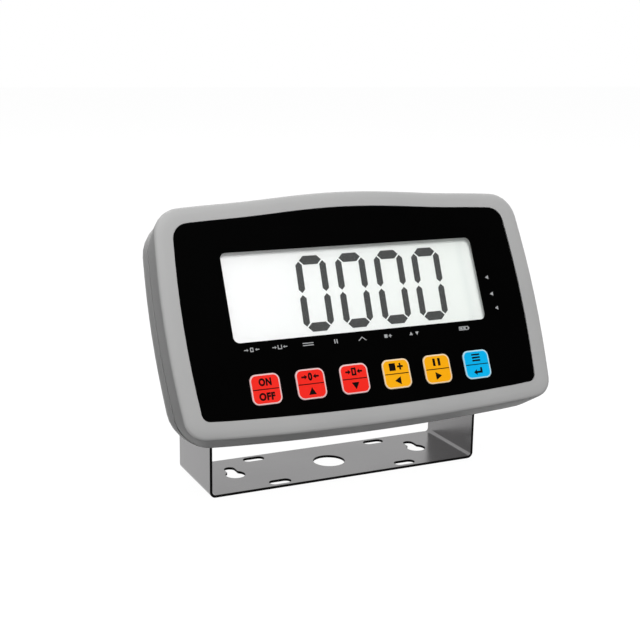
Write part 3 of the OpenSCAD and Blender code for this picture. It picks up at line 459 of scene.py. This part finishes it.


# The stops run across the display, from the place of its left end to that of its right one, and
# paint it greyer to the right as painted shade; its glow is painted light
displayLook = {
    "leftEnd": -0.0785, "rightEnd": 0.0775, "glow": 0.13, "rough": (0.3, 0.4), "grain": 1500,
    "cloud": 14, "bump": 0.01, "shine": 0.2,
    "stops": [(0.0, (1.0, 1.0, 1.0)), (0.5, (0.96, 0.985, 0.965)), (0.93, (0.90, 0.935, 0.90)),
              (0.955, (0.84, 0.88, 0.85)), (0.98, (0.90, 0.93, 0.90))]}


def makeDisplayWhite():
    # The display's pale ground, painted greyer to the right as painted shade, with a darker band
    # near its right end, and a painted glow that lifts it to white though it is no lamp
    look = displayLook
    material, tree, shader, place = startMaterial("displayWhite")
    parts = tree.nodes.new("ShaderNodeSeparateXYZ")
    tree.links.new(place, parts.inputs[0])
    across = tree.nodes.new("ShaderNodeMapRange")
    across.inputs["From Min"].default_value = look["leftEnd"]
    across.inputs["From Max"].default_value = look["rightEnd"]
    tree.links.new(parts.outputs["X"], across.inputs["Value"])
    ramp = tree.nodes.new("ShaderNodeValToRGB")
    elements = ramp.color_ramp.elements
    while len(elements) < len(look["stops"]):
        elements.new(0.5)
    for element, (spot, colour) in zip(elements, look["stops"]):
        element.position = spot
        element.color = colour + (1,)
    tree.links.new(across.outputs[0], ramp.inputs["Fac"])
    grain = addGrain(tree, place, look)
    tree.links.new(ramp.outputs["Color"], shader.inputs["Base Color"])
    # Painted light: a glow that lifts the display to white
    tree.links.new(ramp.outputs["Color"], shader.inputs["Emission Color"])
    shader.inputs["Emission Strength"].default_value = look["glow"]
    tree.links.new(addRange(tree, grain.outputs["Mask"], *look["rough"]),
                   shader.inputs["Roughness"])
    addBump(tree, shader, grain.outputs["Height"], look["bump"])
    shader.inputs["Specular IOR Level"].default_value = look["shine"]
    return material


lensLook = {"colour": (0.9, 0.93, 0.93), "drift": (0.95, 0.97, 0.97), "rough": (0.05, 0.12),
            "cover": (0.03, 0.35), "blend": 0.25, "grain": 900, "cloud": 10}


def makeClearLens():
    # A clear window that lets the lamps through and covers more at a glancing view
    look = lensLook
    material, tree, shader, place = startMaterial("clearLens")
    facing = tree.nodes.new("ShaderNodeLayerWeight")
    facing.inputs["Blend"].default_value = look["blend"]
    grain = addGrain(tree, place, look)
    tree.links.new(addRange(tree, facing.outputs["Fresnel"], *look["cover"]),
                   shader.inputs["Alpha"])
    tree.links.new(addRange(tree, grain.outputs["Mask"], *look["rough"]),
                   shader.inputs["Roughness"])
    tree.links.new(addColourMix(tree, grain.outputs["Mask"], look["colour"], look["drift"]),
                   shader.inputs["Base Color"])
    return material


boardLook = {
    "trackScale": 260, "trackGap": 0.06, "trackBump": 0.15, "padScale": 420, "padSize": 0.17,
    "padColour": (0.55, 0.56, 0.55), "rough": (0.25, 0.4), "grain": 1500,
    "tracks": {"Color1": (0.012, 0.12, 0.045), "Color2": (0.018, 0.16, 0.06),
               "Mortar": (0.03, 0.24, 0.1)}}


def makeBoardGreen():
    # A circuit board: solder mask with darker tracks and bright pads
    look = boardLook
    material, tree, shader, place = startMaterial("boardGreen")
    tracks = tree.nodes.new("ShaderNodeTexBrick")
    tracks.inputs["Scale"].default_value = look["trackScale"]
    tracks.inputs["Mortar Size"].default_value = look["trackGap"]
    for label, colour in look["tracks"].items():
        tracks.inputs[label].default_value = colour + (1,)
    flat = tree.nodes.new("ShaderNodeMapping")
    flat.inputs["Rotation"].default_value = (math.radians(90 - housing["tilt"]), 0, 0)
    tree.links.new(place, flat.inputs["Vector"])
    tree.links.new(flat.outputs["Vector"], tracks.inputs["Vector"])
    pads = tree.nodes.new("ShaderNodeTexVoronoi")
    pads.inputs["Scale"].default_value = look["padScale"]
    tree.links.new(flat.outputs["Vector"], pads.inputs["Vector"])
    spot = addMath(tree, "LESS_THAN", pads.outputs["Distance"], look["padSize"])
    tree.links.new(addColourMix(tree, spot, tracks.outputs["Color"], look["padColour"]),
                   shader.inputs["Base Color"])
    grain = addGrain(tree, place, look)
    tree.links.new(addRange(tree, grain.outputs["Mask"], *look["rough"]),
                   shader.inputs["Roughness"])
    addBump(tree, shader, tracks.outputs["Fac"], look["trackBump"])
    return material


ribbonLook = {"wires": 10, "paintedGrooveShade": (0.16, 0.16, 0.17), "crest": (0.36, 0.36, 0.38),
              "firstWire": (0.45, 0.02, 0.02), "rough": (0.4, 0.55), "grain": 1500,
              "bump": 0.6, "bumpDepth": 0.0004}


def makeRibbonGrey():
    # A flat cable: side by side wires, the outer one red, painted darker in the grooves between
    # them as painted shade
    look = ribbonLook
    material, tree, shader, place = startMaterial("ribbonGrey")
    low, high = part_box("ribbon_cable")
    width = high.x - low.x
    parts = tree.nodes.new("ShaderNodeSeparateXYZ")
    tree.links.new(place, parts.inputs[0])
    wires = addMath(tree, "PINGPONG", parts.outputs["X"], width / (2 * look["wires"]))
    height = addMath(tree, "MULTIPLY", wires, 2 * look["wires"] / width)
    outer = addMath(tree, "LESS_THAN", parts.outputs["X"], low.x + width / look["wires"])
    # Painted shade: darker down in each groove between the wires
    base = addColourMix(tree, height, look["paintedGrooveShade"], look["crest"])
    tree.links.new(addColourMix(tree, outer, base, look["firstWire"]),
                   shader.inputs["Base Color"])
    grain = addGrain(tree, place, look)
    tree.links.new(addRange(tree, grain.outputs["Mask"], *look["rough"]),
                   shader.inputs["Roughness"])
    addBump(tree, shader, height, look["bump"], look["bumpDepth"])
    return material


materials = {name: makeFinish(name, look) for name, look in finishes.items()}
materials["satinSteel"] = makeSatinSteel()
materials["displayWhite"] = makeDisplayWhite()
materials["clearLens"] = makeClearLens()
materials["boardGreen"] = makeBoardGreen()
materials["ribbonGrey"] = makeRibbonGrey()
print("materials made:", len(materials))

# The frame's own solids that stay, each with its finish

keptNodes = {
    "overlay": "panelBlack", "window_lens": "clearLens", "lcd_glass": "displayWhite",
    "lcd_segments": "segmentDark", "lcd_frame": "whitePlastic", "lcd_diffuser": "whitePlastic",
    "lcd_contact_strips": "contactRubber", "housing_seal": "sealRubber",
    "display_board": "boardGreen", "display_board_screws": "zincSteel",
    "tact_switches": "blackPlastic", "shell_screws": "zincSteel", "main_board": "boardGreen",
    "main_board_screws": "zincSteel", "processor_chips": "chipBlack", "capacitors": "canBlue",
    "buzzer": "blackPlastic", "board_headers": "whitePlastic", "ribbon_cable": "ribbonGrey",
    "battery": "batteryCase", "battery_terminals": "brass", "battery_leads": "wireRed",
    "battery_pad": "padFoam", "gland_seal": "sealRubber", "gland_locknut": "blackPlastic",
    "power_jack": "blackPlastic", "power_jack_pin": "brass", "power_jack_nut": "zincSteel",
    "pivot_inserts": "brass", "friction_washers": "sealRubber",
    "knob_stud_left": "zincSteel", "knob_washer_left": "zincSteel",
    "knob_stud_right": "zincSteel", "knob_washer_right": "zincSteel",
}
keyNames = ["on_off", "zero", "tare", "memory", "hold", "enter"]
for keyName in keyNames:
    keptNodes["plunger_" + keyName] = "plungerIvory"
for name, finish in keptNodes.items():
    slots = nodes[name].data.materials
    slots.clear()
    slots.append(materials[finish])
print("kept solids finished:", len(keptNodes))

# Mesh helpers


def sortByPlace(bm):
    # One fixed order, because the order in which the operators leave a mesh varies by run
    bm.normal_update()

    def corners(part):
        verts = [part] if isinstance(part, bmesh.types.BMVert) else part.verts
        return sorted((*v.co, *v.normal) for v in verts)

    for parts in (bm.verts, bm.edges, bm.faces):
        ranks = {part: rank for rank, part in enumerate(sorted(parts, key=corners))}
        parts.sort(key=ranks.get)


def finishPiece(bm, name, finishNames, body, sharpAngle=32, replaced=()):
    # Closes a bmesh into an object in the frame's own coordinates and lets it ride
    sharp = math.radians(sharpAngle)
    for edge in bm.edges:
        edge.smooth = len(edge.link_faces) == 2 and edge.calc_face_angle(math.pi) < sharp
    for face in bm.faces:
        face.smooth = True
    sortByPlace(bm)
    mesh = bpy.data.meshes.new(name)
    bm.to_mesh(mesh)
    bm.free()
    for finish in finishNames:
        mesh.materials.append(materials[finish])
    piece = bpy.data.objects.new(name, mesh)
    bpy.context.scene.collection.objects.link(piece)
    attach(piece, body)
    if replaced:
        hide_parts(*replaced)
    return piece


def copyNode(name, flatAngle=0.3):
    # A merged copy of a frame solid, with its flat faces made whole again
    bm = bmesh.new()
    bm.from_mesh(nodes[name].data)
    bmesh.ops.remove_doubles(bm, verts=bm.verts, dist=0.000002)
    bmesh.ops.dissolve_limit(bm, angle_limit=math.radians(flatAngle), verts=bm.verts,
                             edges=bm.edges, use_dissolve_boundaries=False, delimit={"NORMAL"})
    for face in bm.faces:
        face.material_index = 0
    return bm


def roundEdges(bm, edges, width, segments):
    # Rounds edges by a width in the mesh's own unit, keeping each face's finish
    bmesh.ops.bevel(bm, geom=edges, offset=width, offset_type="OFFSET", segments=segments,
                    profile=0.5, affect="EDGES", clamp_overlap=True, material=-1)


def sharpEdges(bm, angle=50):
    limit = math.radians(angle)
    return [e for e in bm.edges
            if len(e.link_faces) == 2 and e.calc_face_angle(0) > limit and e.is_convex]


def edgesAmong(bm, verts):
    # The edges between some vertices, in the mesh's own order
    chosen = set(verts)
    return [e for e in bm.edges if e.verts[0] in chosen and e.verts[1] in chosen]


# Stand

# In millimetres; leans are shares of a normal that tell a cut edge from the sheet's faces
stand = {"edgeRound": 0.24, "sheet": 1.5, "bendOuter": 3.5, "plateMargin": 0.05, "bendMargin": 0.1,
         "frontLean": 0.62, "faceLean": 0.6}


def buildStand():
    bm = copyNode("bracket")
    roundEdges(bm, sharpEdges(bm), stand["edgeRound"] * mm, 1)
    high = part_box("bracket")[1]
    plateTop = (stand["sheet"] + stand["plateMargin"]) * mm
    bendTop = (stand["bendOuter"] + stand["bendMargin"]) * mm
    for face in bm.faces:
        middle, normal = face.calc_center_median(), face.normal
        onPlate = middle.z < plateTop and abs(middle.x) < high.x - bendTop
        onArm = middle.z > bendTop
        if (abs(normal.y) > stand["frontLean"]
                or onPlate and abs(normal.z) < stand["faceLean"]
                or onArm and abs(normal.x) < stand["faceLean"]):
            face.material_index = 1
    finishPiece(bm, "standSheet", ["satinSteel", "cutEdge"], "bracket", 25,
                ["bracket"])


# Housing


shells = {"doorRound": 0.3, "sharpAngle": 38, "flatAngle": 0.1}


def buildHousing():
    # The rear shell and battery door are painted lighter than the front shell, as painted light
    for node, name, finish in (("front_shell", "frontCase", "shellGrey"),
                               ("rear_shell", "rearCase", "rearGreyPaintedLight")):
        finishPiece(copyNode(node, shells["flatAngle"]), name, [finish], "housing",
                    shells["sharpAngle"], [node])
    bm = copyNode("battery_door")
    roundEdges(bm, sharpEdges(bm), shells["doorRound"] * mm, 2)
    finishPiece(bm, "batteryCover", ["rearGreyPaintedLight"], "battery_door",
                shells["sharpAngle"], ["battery_door"])


# Keys

keyShape = {"width": 16.9, "height": 16.4, "corner": 3.7, "pitch": 25.92, "proud": 0.3,
            "border": 0.62, "edge": 0.18, "depth": 2.7, "flange": 0.9, "flangeTop": 2.7,
            "flangeThick": 0.8, "stem": 2.5, "stemEnd": 6.2, "cornerSteps": 10}
keyColours = ["keyRed"] * 3 + ["keyAmber"] * 2 + ["keyBlue"]
borderColours = ["borderRose"] * 3 + ["borderCream"] * 2 + ["borderSky"]


def addSlab(bm, width, height, corner, front, back):
    # A block with rounded upright corners, its faces at the depths front and back
    made = bmesh.ops.create_cube(bm, size=1)["verts"]
    bmesh.ops.scale(bm, vec=(width, back - front, height), verts=made)
    bmesh.ops.translate(bm, vec=(0, (front + back) / 2, 0), verts=made)
    upright = [e for e in edgesAmong(bm, made)
               if abs((e.verts[0].co - e.verts[1].co).normalized().y) > 0.9]
    roundEdges(bm, upright, corner, keyShape["cornerSteps"])


def keyPlace(index):
    # Where a key of the row stands, from its own middle to the frame
    across = (index - (len(keyNames) - 1) / 2) * keyShape["pitch"]
    return housingFrame @ Matrix.Translation((across, 0, 0))


def buildKeys():
    shape = keyShape
    for i, keyName in enumerate(keyNames):
        bm = bmesh.new()
        addSlab(bm, shape["width"], shape["height"], shape["corner"], -shape["proud"],
                shape["depth"])
        top = min(bm.faces, key=lambda f: f.calc_center_median().y)
        roundEdges(bm, list(top.edges), shape["edge"], 3)
        top = min(bm.faces, key=lambda f: f.calc_center_median().y)
        for face in bm.faces:
            face.material_index = 1
        bmesh.ops.inset_region(bm, faces=[top], thickness=shape["border"], depth=0)
        top.material_index = 0
        flangeTop = shape["flangeTop"]
        addSlab(bm, shape["width"] + 2 * shape["flange"], shape["height"] + 2 * shape["flange"],
                shape["corner"], flangeTop, flangeTop + shape["flangeThick"])
        addSlab(bm, 2 * shape["stem"], 2 * shape["stem"], shape["stem"] * 0.98, flangeTop,
                shape["stemEnd"])
        bmesh.ops.transform(bm, matrix=keyPlace(i), verts=bm.verts)
        node = "key_" + keyName
        finishPiece(bm, "keyPad_" + keyName, [keyColours[i], borderColours[i]], node,
                    30, [node])


# Printed marks: flat shapes in millimetres, x to the right and z up

printSkins = {"key": 0.035, "panel": 0.03}


def addOutline(bm, points, front, back):
    # A flat printed shape with a little thickness
    verts = [bm.verts.new((x, front, z)) for x, z in points]
    face = bm.faces.new(verts)
    face.normal_update()
    if face.normal.y > 0:
        face.normal_flip()
    made = bmesh.ops.extrude_face_region(bm, geom=[face])["geom"]
    moved = [v for v in made if isinstance(v, bmesh.types.BMVert)]
    bmesh.ops.translate(bm, vec=(0, back - front, 0), verts=moved)


def boxPoints(x, z, width, height):
    w, h = width / 2, height / 2
    return [(x - w, z - h), (x + w, z - h), (x + w, z + h), (x - w, z + h)]


def trianglePoints(x, z, size, turn):
    # An even triangle that points up at turn 0, and further round to the left as turn grows
    corners = []
    for step in range(3):
        a = math.radians(90 + turn + 120 * step)
        corners.append((x + size * math.cos(a), z + size * math.sin(a)))
    return corners


def arrowPoints(x, z, length, thick, head, side):
    # A straight arrow whose tip is at x, pointing right for side 1 and left for side -1
    t, h = thick / 2, head / 2
    neck = -h * 1.2
    along = [(0, 0), (neck, h), (neck, t), (-length, t), (-length, -t), (neck, -t), (neck, -h)]
    return [(x + side * a, z + b) for a, b in along]


def frameShapes(x, z, width, height, thick):
    return [boxPoints(x, z + height / 2 - thick / 2, width, thick),
            boxPoints(x, z - height / 2 + thick / 2, width, thick),
            boxPoints(x - width / 2 + thick / 2, z, thick, height - 2 * thick),
            boxPoints(x + width / 2 - thick / 2, z, thick, height - 2 * thick)]


lettering = {"bold": 0.055, "spacing": 1.12}


def addText(bm, words, x, z, width, height, front, back):
    # Lettering fitted to a width and a height, and made a mesh before it is placed
    curve = bpy.data.curves.new("lettering", "FONT")
    curve.body = words
    curve.align_x = "CENTER"
    curve.offset = lettering["bold"]
    curve.space_character = lettering["spacing"]
    writer = bpy.data.objects.new("lettering", curve)
    bpy.context.scene.collection.objects.link(writer)
    bpy.context.view_layer.update()
    evaluated = writer.evaluated_get(bpy.context.evaluated_depsgraph_get())
    flat = bpy.data.meshes.new_from_object(evaluated)
    bpy.data.objects.remove(writer)
    bpy.data.curves.remove(curve)
    letters = bmesh.new()
    letters.from_mesh(flat)
    bpy.data.meshes.remove(flat)
    lows = [min(v.co[k] for v in letters.verts) for k in (0, 1)]
    highs = [max(v.co[k] for v in letters.verts) for k in (0, 1)]
    bmesh.ops.remove_doubles(letters, verts=letters.verts, dist=0.0005)
    grown = bmesh.ops.extrude_face_region(letters, geom=letters.faces[:])["geom"]
    bmesh.ops.translate(letters, vec=(0, 0, 1),
                        verts=[v for v in grown if isinstance(v, bmesh.types.BMVert)])
    middle = [(a + b) / 2 for a, b in zip(lows, highs)]
    for v in letters.verts:
        v.co = Vector((x + (v.co.x - middle[0]) * width / (highs[0] - lows[0]),
                       back + (front - back) * v.co.z,
                       z + (v.co.y - middle[1]) * height / (highs[1] - lows[1])))
    bmesh.ops.recalc_face_normals(letters, faces=letters.faces)
    joined = bpy.data.meshes.new("lettering")
    letters.to_mesh(joined)
    letters.free()
    bm.from_mesh(joined)
    bpy.data.meshes.remove(joined)


legend = {"line": 0.5, "lineWide": 14.6, "upper": 3.95, "lower": -3.85, "thick": 0.95,
          "head": 2.7, "triangle": 2.6}


def legendParts(keyName):
    # Shapes and lettering of one key, upper half first
    up, low, thick, head = (legend[k] for k in ("upper", "lower", "thick", "head"))
    size = legend["triangle"]
    shapes = [boxPoints(0, 0, legend["lineWide"], legend["line"])]
    words = []
    if keyName == "on_off":
        words = [("ON", 0, up - 0.1, 7.2, 4.2), ("OFF", 0, low, 9.0, 4.2)]
    elif keyName == "zero":
        shapes += [arrowPoints(-1.7, up, 3.4, thick, head, 1),
                   arrowPoints(1.7, up, 3.4, thick, head, -1),
                   trianglePoints(0, low - 0.6, size, 0)]
        words = [("0", 0, up, 2.5, 4.4)]
    elif keyName == "tare":
        shapes += [arrowPoints(-1.8, up, 3.3, thick, head, 1),
                   arrowPoints(1.8, up, 3.3, thick, head, -1),
                   trianglePoints(0, low + 0.6, size, 180)]
        shapes += frameShapes(0, up, 2.8, 4.3, thick)
    elif keyName == "memory":
        shapes += [boxPoints(-2.2, up, 3.9, 4.2), boxPoints(2.6, up, 3.7, 1.05),
                   boxPoints(2.6, up + 1.2, 1.05, 1.4), boxPoints(2.6, up - 1.2, 1.05, 1.4),
                   trianglePoints(0.6, low, size, 90)]
    elif keyName == "hold":
        shapes += [boxPoints(-1.6, up, 1.6, 4.3), boxPoints(1.6, up, 1.6, 4.3),
                   trianglePoints(-0.6, low, size, -90)]
    else:
        shapes += [boxPoints(0, up + s, 5.2, thick) for s in (-1.7, 0, 1.7)]
        shapes += [arrowPoints(-3.0, low - 0.6, 5.7, 1.25, 3.4, -1),
                   boxPoints(2.08, low + 1.0, 1.25, 1.95)]
    return shapes, words


def buildLegends():
    front = -keyShape["proud"] - printSkins["key"]
    back = -keyShape["proud"] + printSkins["key"]
    for i, keyName in enumerate(keyNames):
        bm = bmesh.new()
        shapes, words = legendParts(keyName)
        for points in shapes:
            addOutline(bm, points, front, back)
        for text, x, z, width, height in words:
            addText(bm, text, x, z, width, height, front, back)
        bmesh.ops.recalc_face_normals(bm, faces=bm.faces)
        bmesh.ops.transform(bm, matrix=keyPlace(i), verts=bm.verts)
        finishPiece(bm, "legend_" + keyName, ["legendBlack"], "key_" + keyName, 30)


panelMarks = {"row": 21.5, "high": 2.3, "line": 0.45, "sideSize": 1.4,
              "places": [-69, -53, -36.5, -20, -4, 12, 28.5, 61],
              "sidePlaces": [(83.5, 50), (84.5, 40), (86, 31.5)]}


def markShapes(index, x, z):
    # Small signs under the display: nought, tare, steady, held, peak, stored, limits, battery
    high, line = panelMarks["high"], panelMarks["line"]
    around = [arrowPoints(x - 1.9, z, 2.4, line, 1.5, 1),
              arrowPoints(x + 1.9, z, 2.4, line, 1.5, -1)]
    if index == 0:
        return around + frameShapes(x, z, 1.8, high, line)
    if index == 1:
        return around + [boxPoints(x, z - high / 2 + line / 2, 2.4, line),
                         boxPoints(x - 1, z + line / 2, line, high - line),
                         boxPoints(x + 1, z + line / 2, line, high - line)]
    if index == 2:
        return [boxPoints(x, z + s * 0.6, 6.4, line) for s in (-1, 1)]
    if index == 3:
        return [boxPoints(x + s * 0.7, z, 0.6, high) for s in (-1, 1)]
    if index == 4:
        return [[(x - 2.6, z - 1.1), (x - 2.0, z - 1.1), (x, z + 0.55), (x + 2.0, z - 1.1),
                 (x + 2.6, z - 1.1), (x, z + 1.15)]]
    if index == 5:
        return [boxPoints(x - 1.3, z, 1.9, 1.9), boxPoints(x + 1.4, z, 1.9, line),
                boxPoints(x + 1.4, z + 0.6, line, 0.75), boxPoints(x + 1.4, z - 0.6, line, 0.75)]
    if index == 6:
        return [trianglePoints(x - 1.9, z - 0.2, 1.25, 0),
                trianglePoints(x + 1.9, z + 0.2, 1.25, 180)]
    return frameShapes(x, z, 6.2, 2.2, line) + [
        boxPoints(x + 3.4, z, 0.6, 1.0), boxPoints(x - 1.6, z, 1.5, 1.0),
        boxPoints(x + 0.5, z, 1.5, 1.0)]


def buildPanelMarks():
    bm = bmesh.new()
    shapes = []
    for index, x in enumerate(panelMarks["places"]):
        shapes += markShapes(index, x, panelMarks["row"])
    for x, z in panelMarks["sidePlaces"]:
        shapes.append(trianglePoints(x, z, panelMarks["sideSize"], 90))
    for points in shapes:
        addOutline(bm, points, -printSkins["panel"], printSkins["panel"])
    bmesh.ops.recalc_face_normals(bm, faces=bm.faces)
    bmesh.ops.transform(bm, matrix=housingFrame, verts=bm.verts)
    finishPiece(bm, "panelMarks", ["printWhite"], "housing", 30)


# Knobs

knobShape = {"radius": 12, "length": 16, "neckRadius": 7.5, "neck": 2.5, "lobes": 7, "hollow": 4,
             "hollowOut": 1.8, "soften": 0.35, "edge": 1.3, "capRadius": 6.2, "dish": 0.7,
             "points": 168, "edgeAngles": (22, 45, 68, 90), "neckDrawn": 5.2, "faceDrawn": 4.6,
             "dishDrawn": 5.1, "neckBury": 1, "capBury": 2, "capSink": 0.2, "capRound": 0.5,
             "roundPoints": 64}


def knobRadius(angle):
    # Distance from the axis to the grip's outline, with a softened lip at each finger hollow
    shape = knobShape
    step = 2 * math.pi / shape["lobes"]
    a = (angle + step / 2) % step - step / 2
    far = shape["radius"] + shape["hollowOut"]
    inside = shape["hollow"] ** 2 - (far * math.sin(a)) ** 2
    if inside <= 0:
        return shape["radius"]
    scoop = far * math.cos(a) - math.sqrt(inside)
    k = shape["soften"]
    return -k * math.log(math.exp(-scoop / k) + math.exp(-shape["radius"] / k))


def buildKnob(side, name):
    shape = knobShape
    low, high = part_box("knob_" + name)
    base = low.x if side > 0 else -high.x
    bm = bmesh.new()
    ring = bmesh.ops.create_circle(bm, cap_ends=False, radius=1, segments=shape["points"])["verts"]
    angles = {v: math.atan2(v.co.y, v.co.x) for v in ring}
    top, neck, edge = shape["length"], shape["neck"], shape["edge"]
    turns = shape["edgeAngles"]

    def edgeRise(turn):
        return edge * (1 - math.cos(math.radians(turn)))

    def edgeDraw(turn):
        return edge * (1 - math.sin(math.radians(turn)))

    # Height, how far the outline is drawn in, and how round it has become
    steps = [(neck, shape["neckDrawn"], 1), (neck, edge, 0)]
    steps += [(neck + edgeRise(t), edgeDraw(t), 0) for t in turns]
    steps += [(top - edgeRise(t), edgeDraw(t), 0) for t in turns[::-1] + (0,)]
    steps += [(top, shape["faceDrawn"], 1), (top - shape["dish"], shape["dishDrawn"], 1)]
    for count, (height, drawn, roundness) in enumerate(steps):
        if count:
            grown = bmesh.ops.extrude_edge_only(bm, edges=rim)["geom"]
            near = [v for v in grown if isinstance(v, bmesh.types.BMVert)]
            angles = {v: math.atan2(v.co.y, v.co.x) for v in near}
            rim = [e for e in grown if isinstance(e, bmesh.types.BMEdge)]
        else:
            rim = list(bm.edges)
        for v, angle in angles.items():
            outline = knobRadius(angle) * (1 - roundness) + shape["radius"] * roundness
            reach = outline - drawn
            v.co = (reach * math.cos(angle), reach * math.sin(angle), height)
    bmesh.ops.contextual_create(bm, geom=rim)
    for radius, start, end, soft in (
            (shape["neckRadius"], 0, neck + shape["neckBury"], 0),
            (shape["capRadius"], top - shape["capBury"], top - shape["capSink"],
             shape["capRound"])):
        made = bmesh.ops.create_cone(bm, cap_ends=True, segments=shape["roundPoints"],
                                     radius1=radius, radius2=radius, depth=end - start)["verts"]
        bmesh.ops.translate(bm, vec=(0, 0, (start + end) / 2), verts=made)
        upper = [e for e in edgesAmong(bm, made)
                 if e.verts[0].co.z > end - 0.01 and e.verts[1].co.z > end - 0.01]
        if soft:
            roundEdges(bm, upper, soft, 4)
    turned = Matrix.Rotation(math.radians(90), 4, "Y")
    if side < 0:
        turned = Matrix.Scale(-1, 4, (1, 0, 0)) @ turned
    place = Matrix.Translation((side * base, 0, pivotPlace.z)) @ turned @ Matrix.Scale(mm, 4)
    bmesh.ops.transform(bm, matrix=place, verts=bm.verts)
    bmesh.ops.recalc_face_normals(bm, faces=bm.faces)
    finishPiece(bm, "knobGrip_" + name, ["blackPlastic"], "knob_" + name, 35,
                ["knob_" + name])


# Cable gland


gland = {"edgeAngle": 25, "edgeRound": 0.35}


def buildGland():
    for node, name in (("gland_cap", "glandCap"), ("gland_body", "glandBody")):
        bm = copyNode(node)
        roundEdges(bm, sharpEdges(bm, gland["edgeAngle"]), gland["edgeRound"] * mm, 2)
        finishPiece(bm, name, ["blackPlastic"], "housing", 35, [node])


buildStand()
print("stand built")
buildHousing()
print("housing built")
buildKeys()
buildLegends()
buildPanelMarks()
print("keys and marks built")
buildKnob(1, "right")
buildKnob(-1, "left")
buildGland()
print("knobs and gland built")
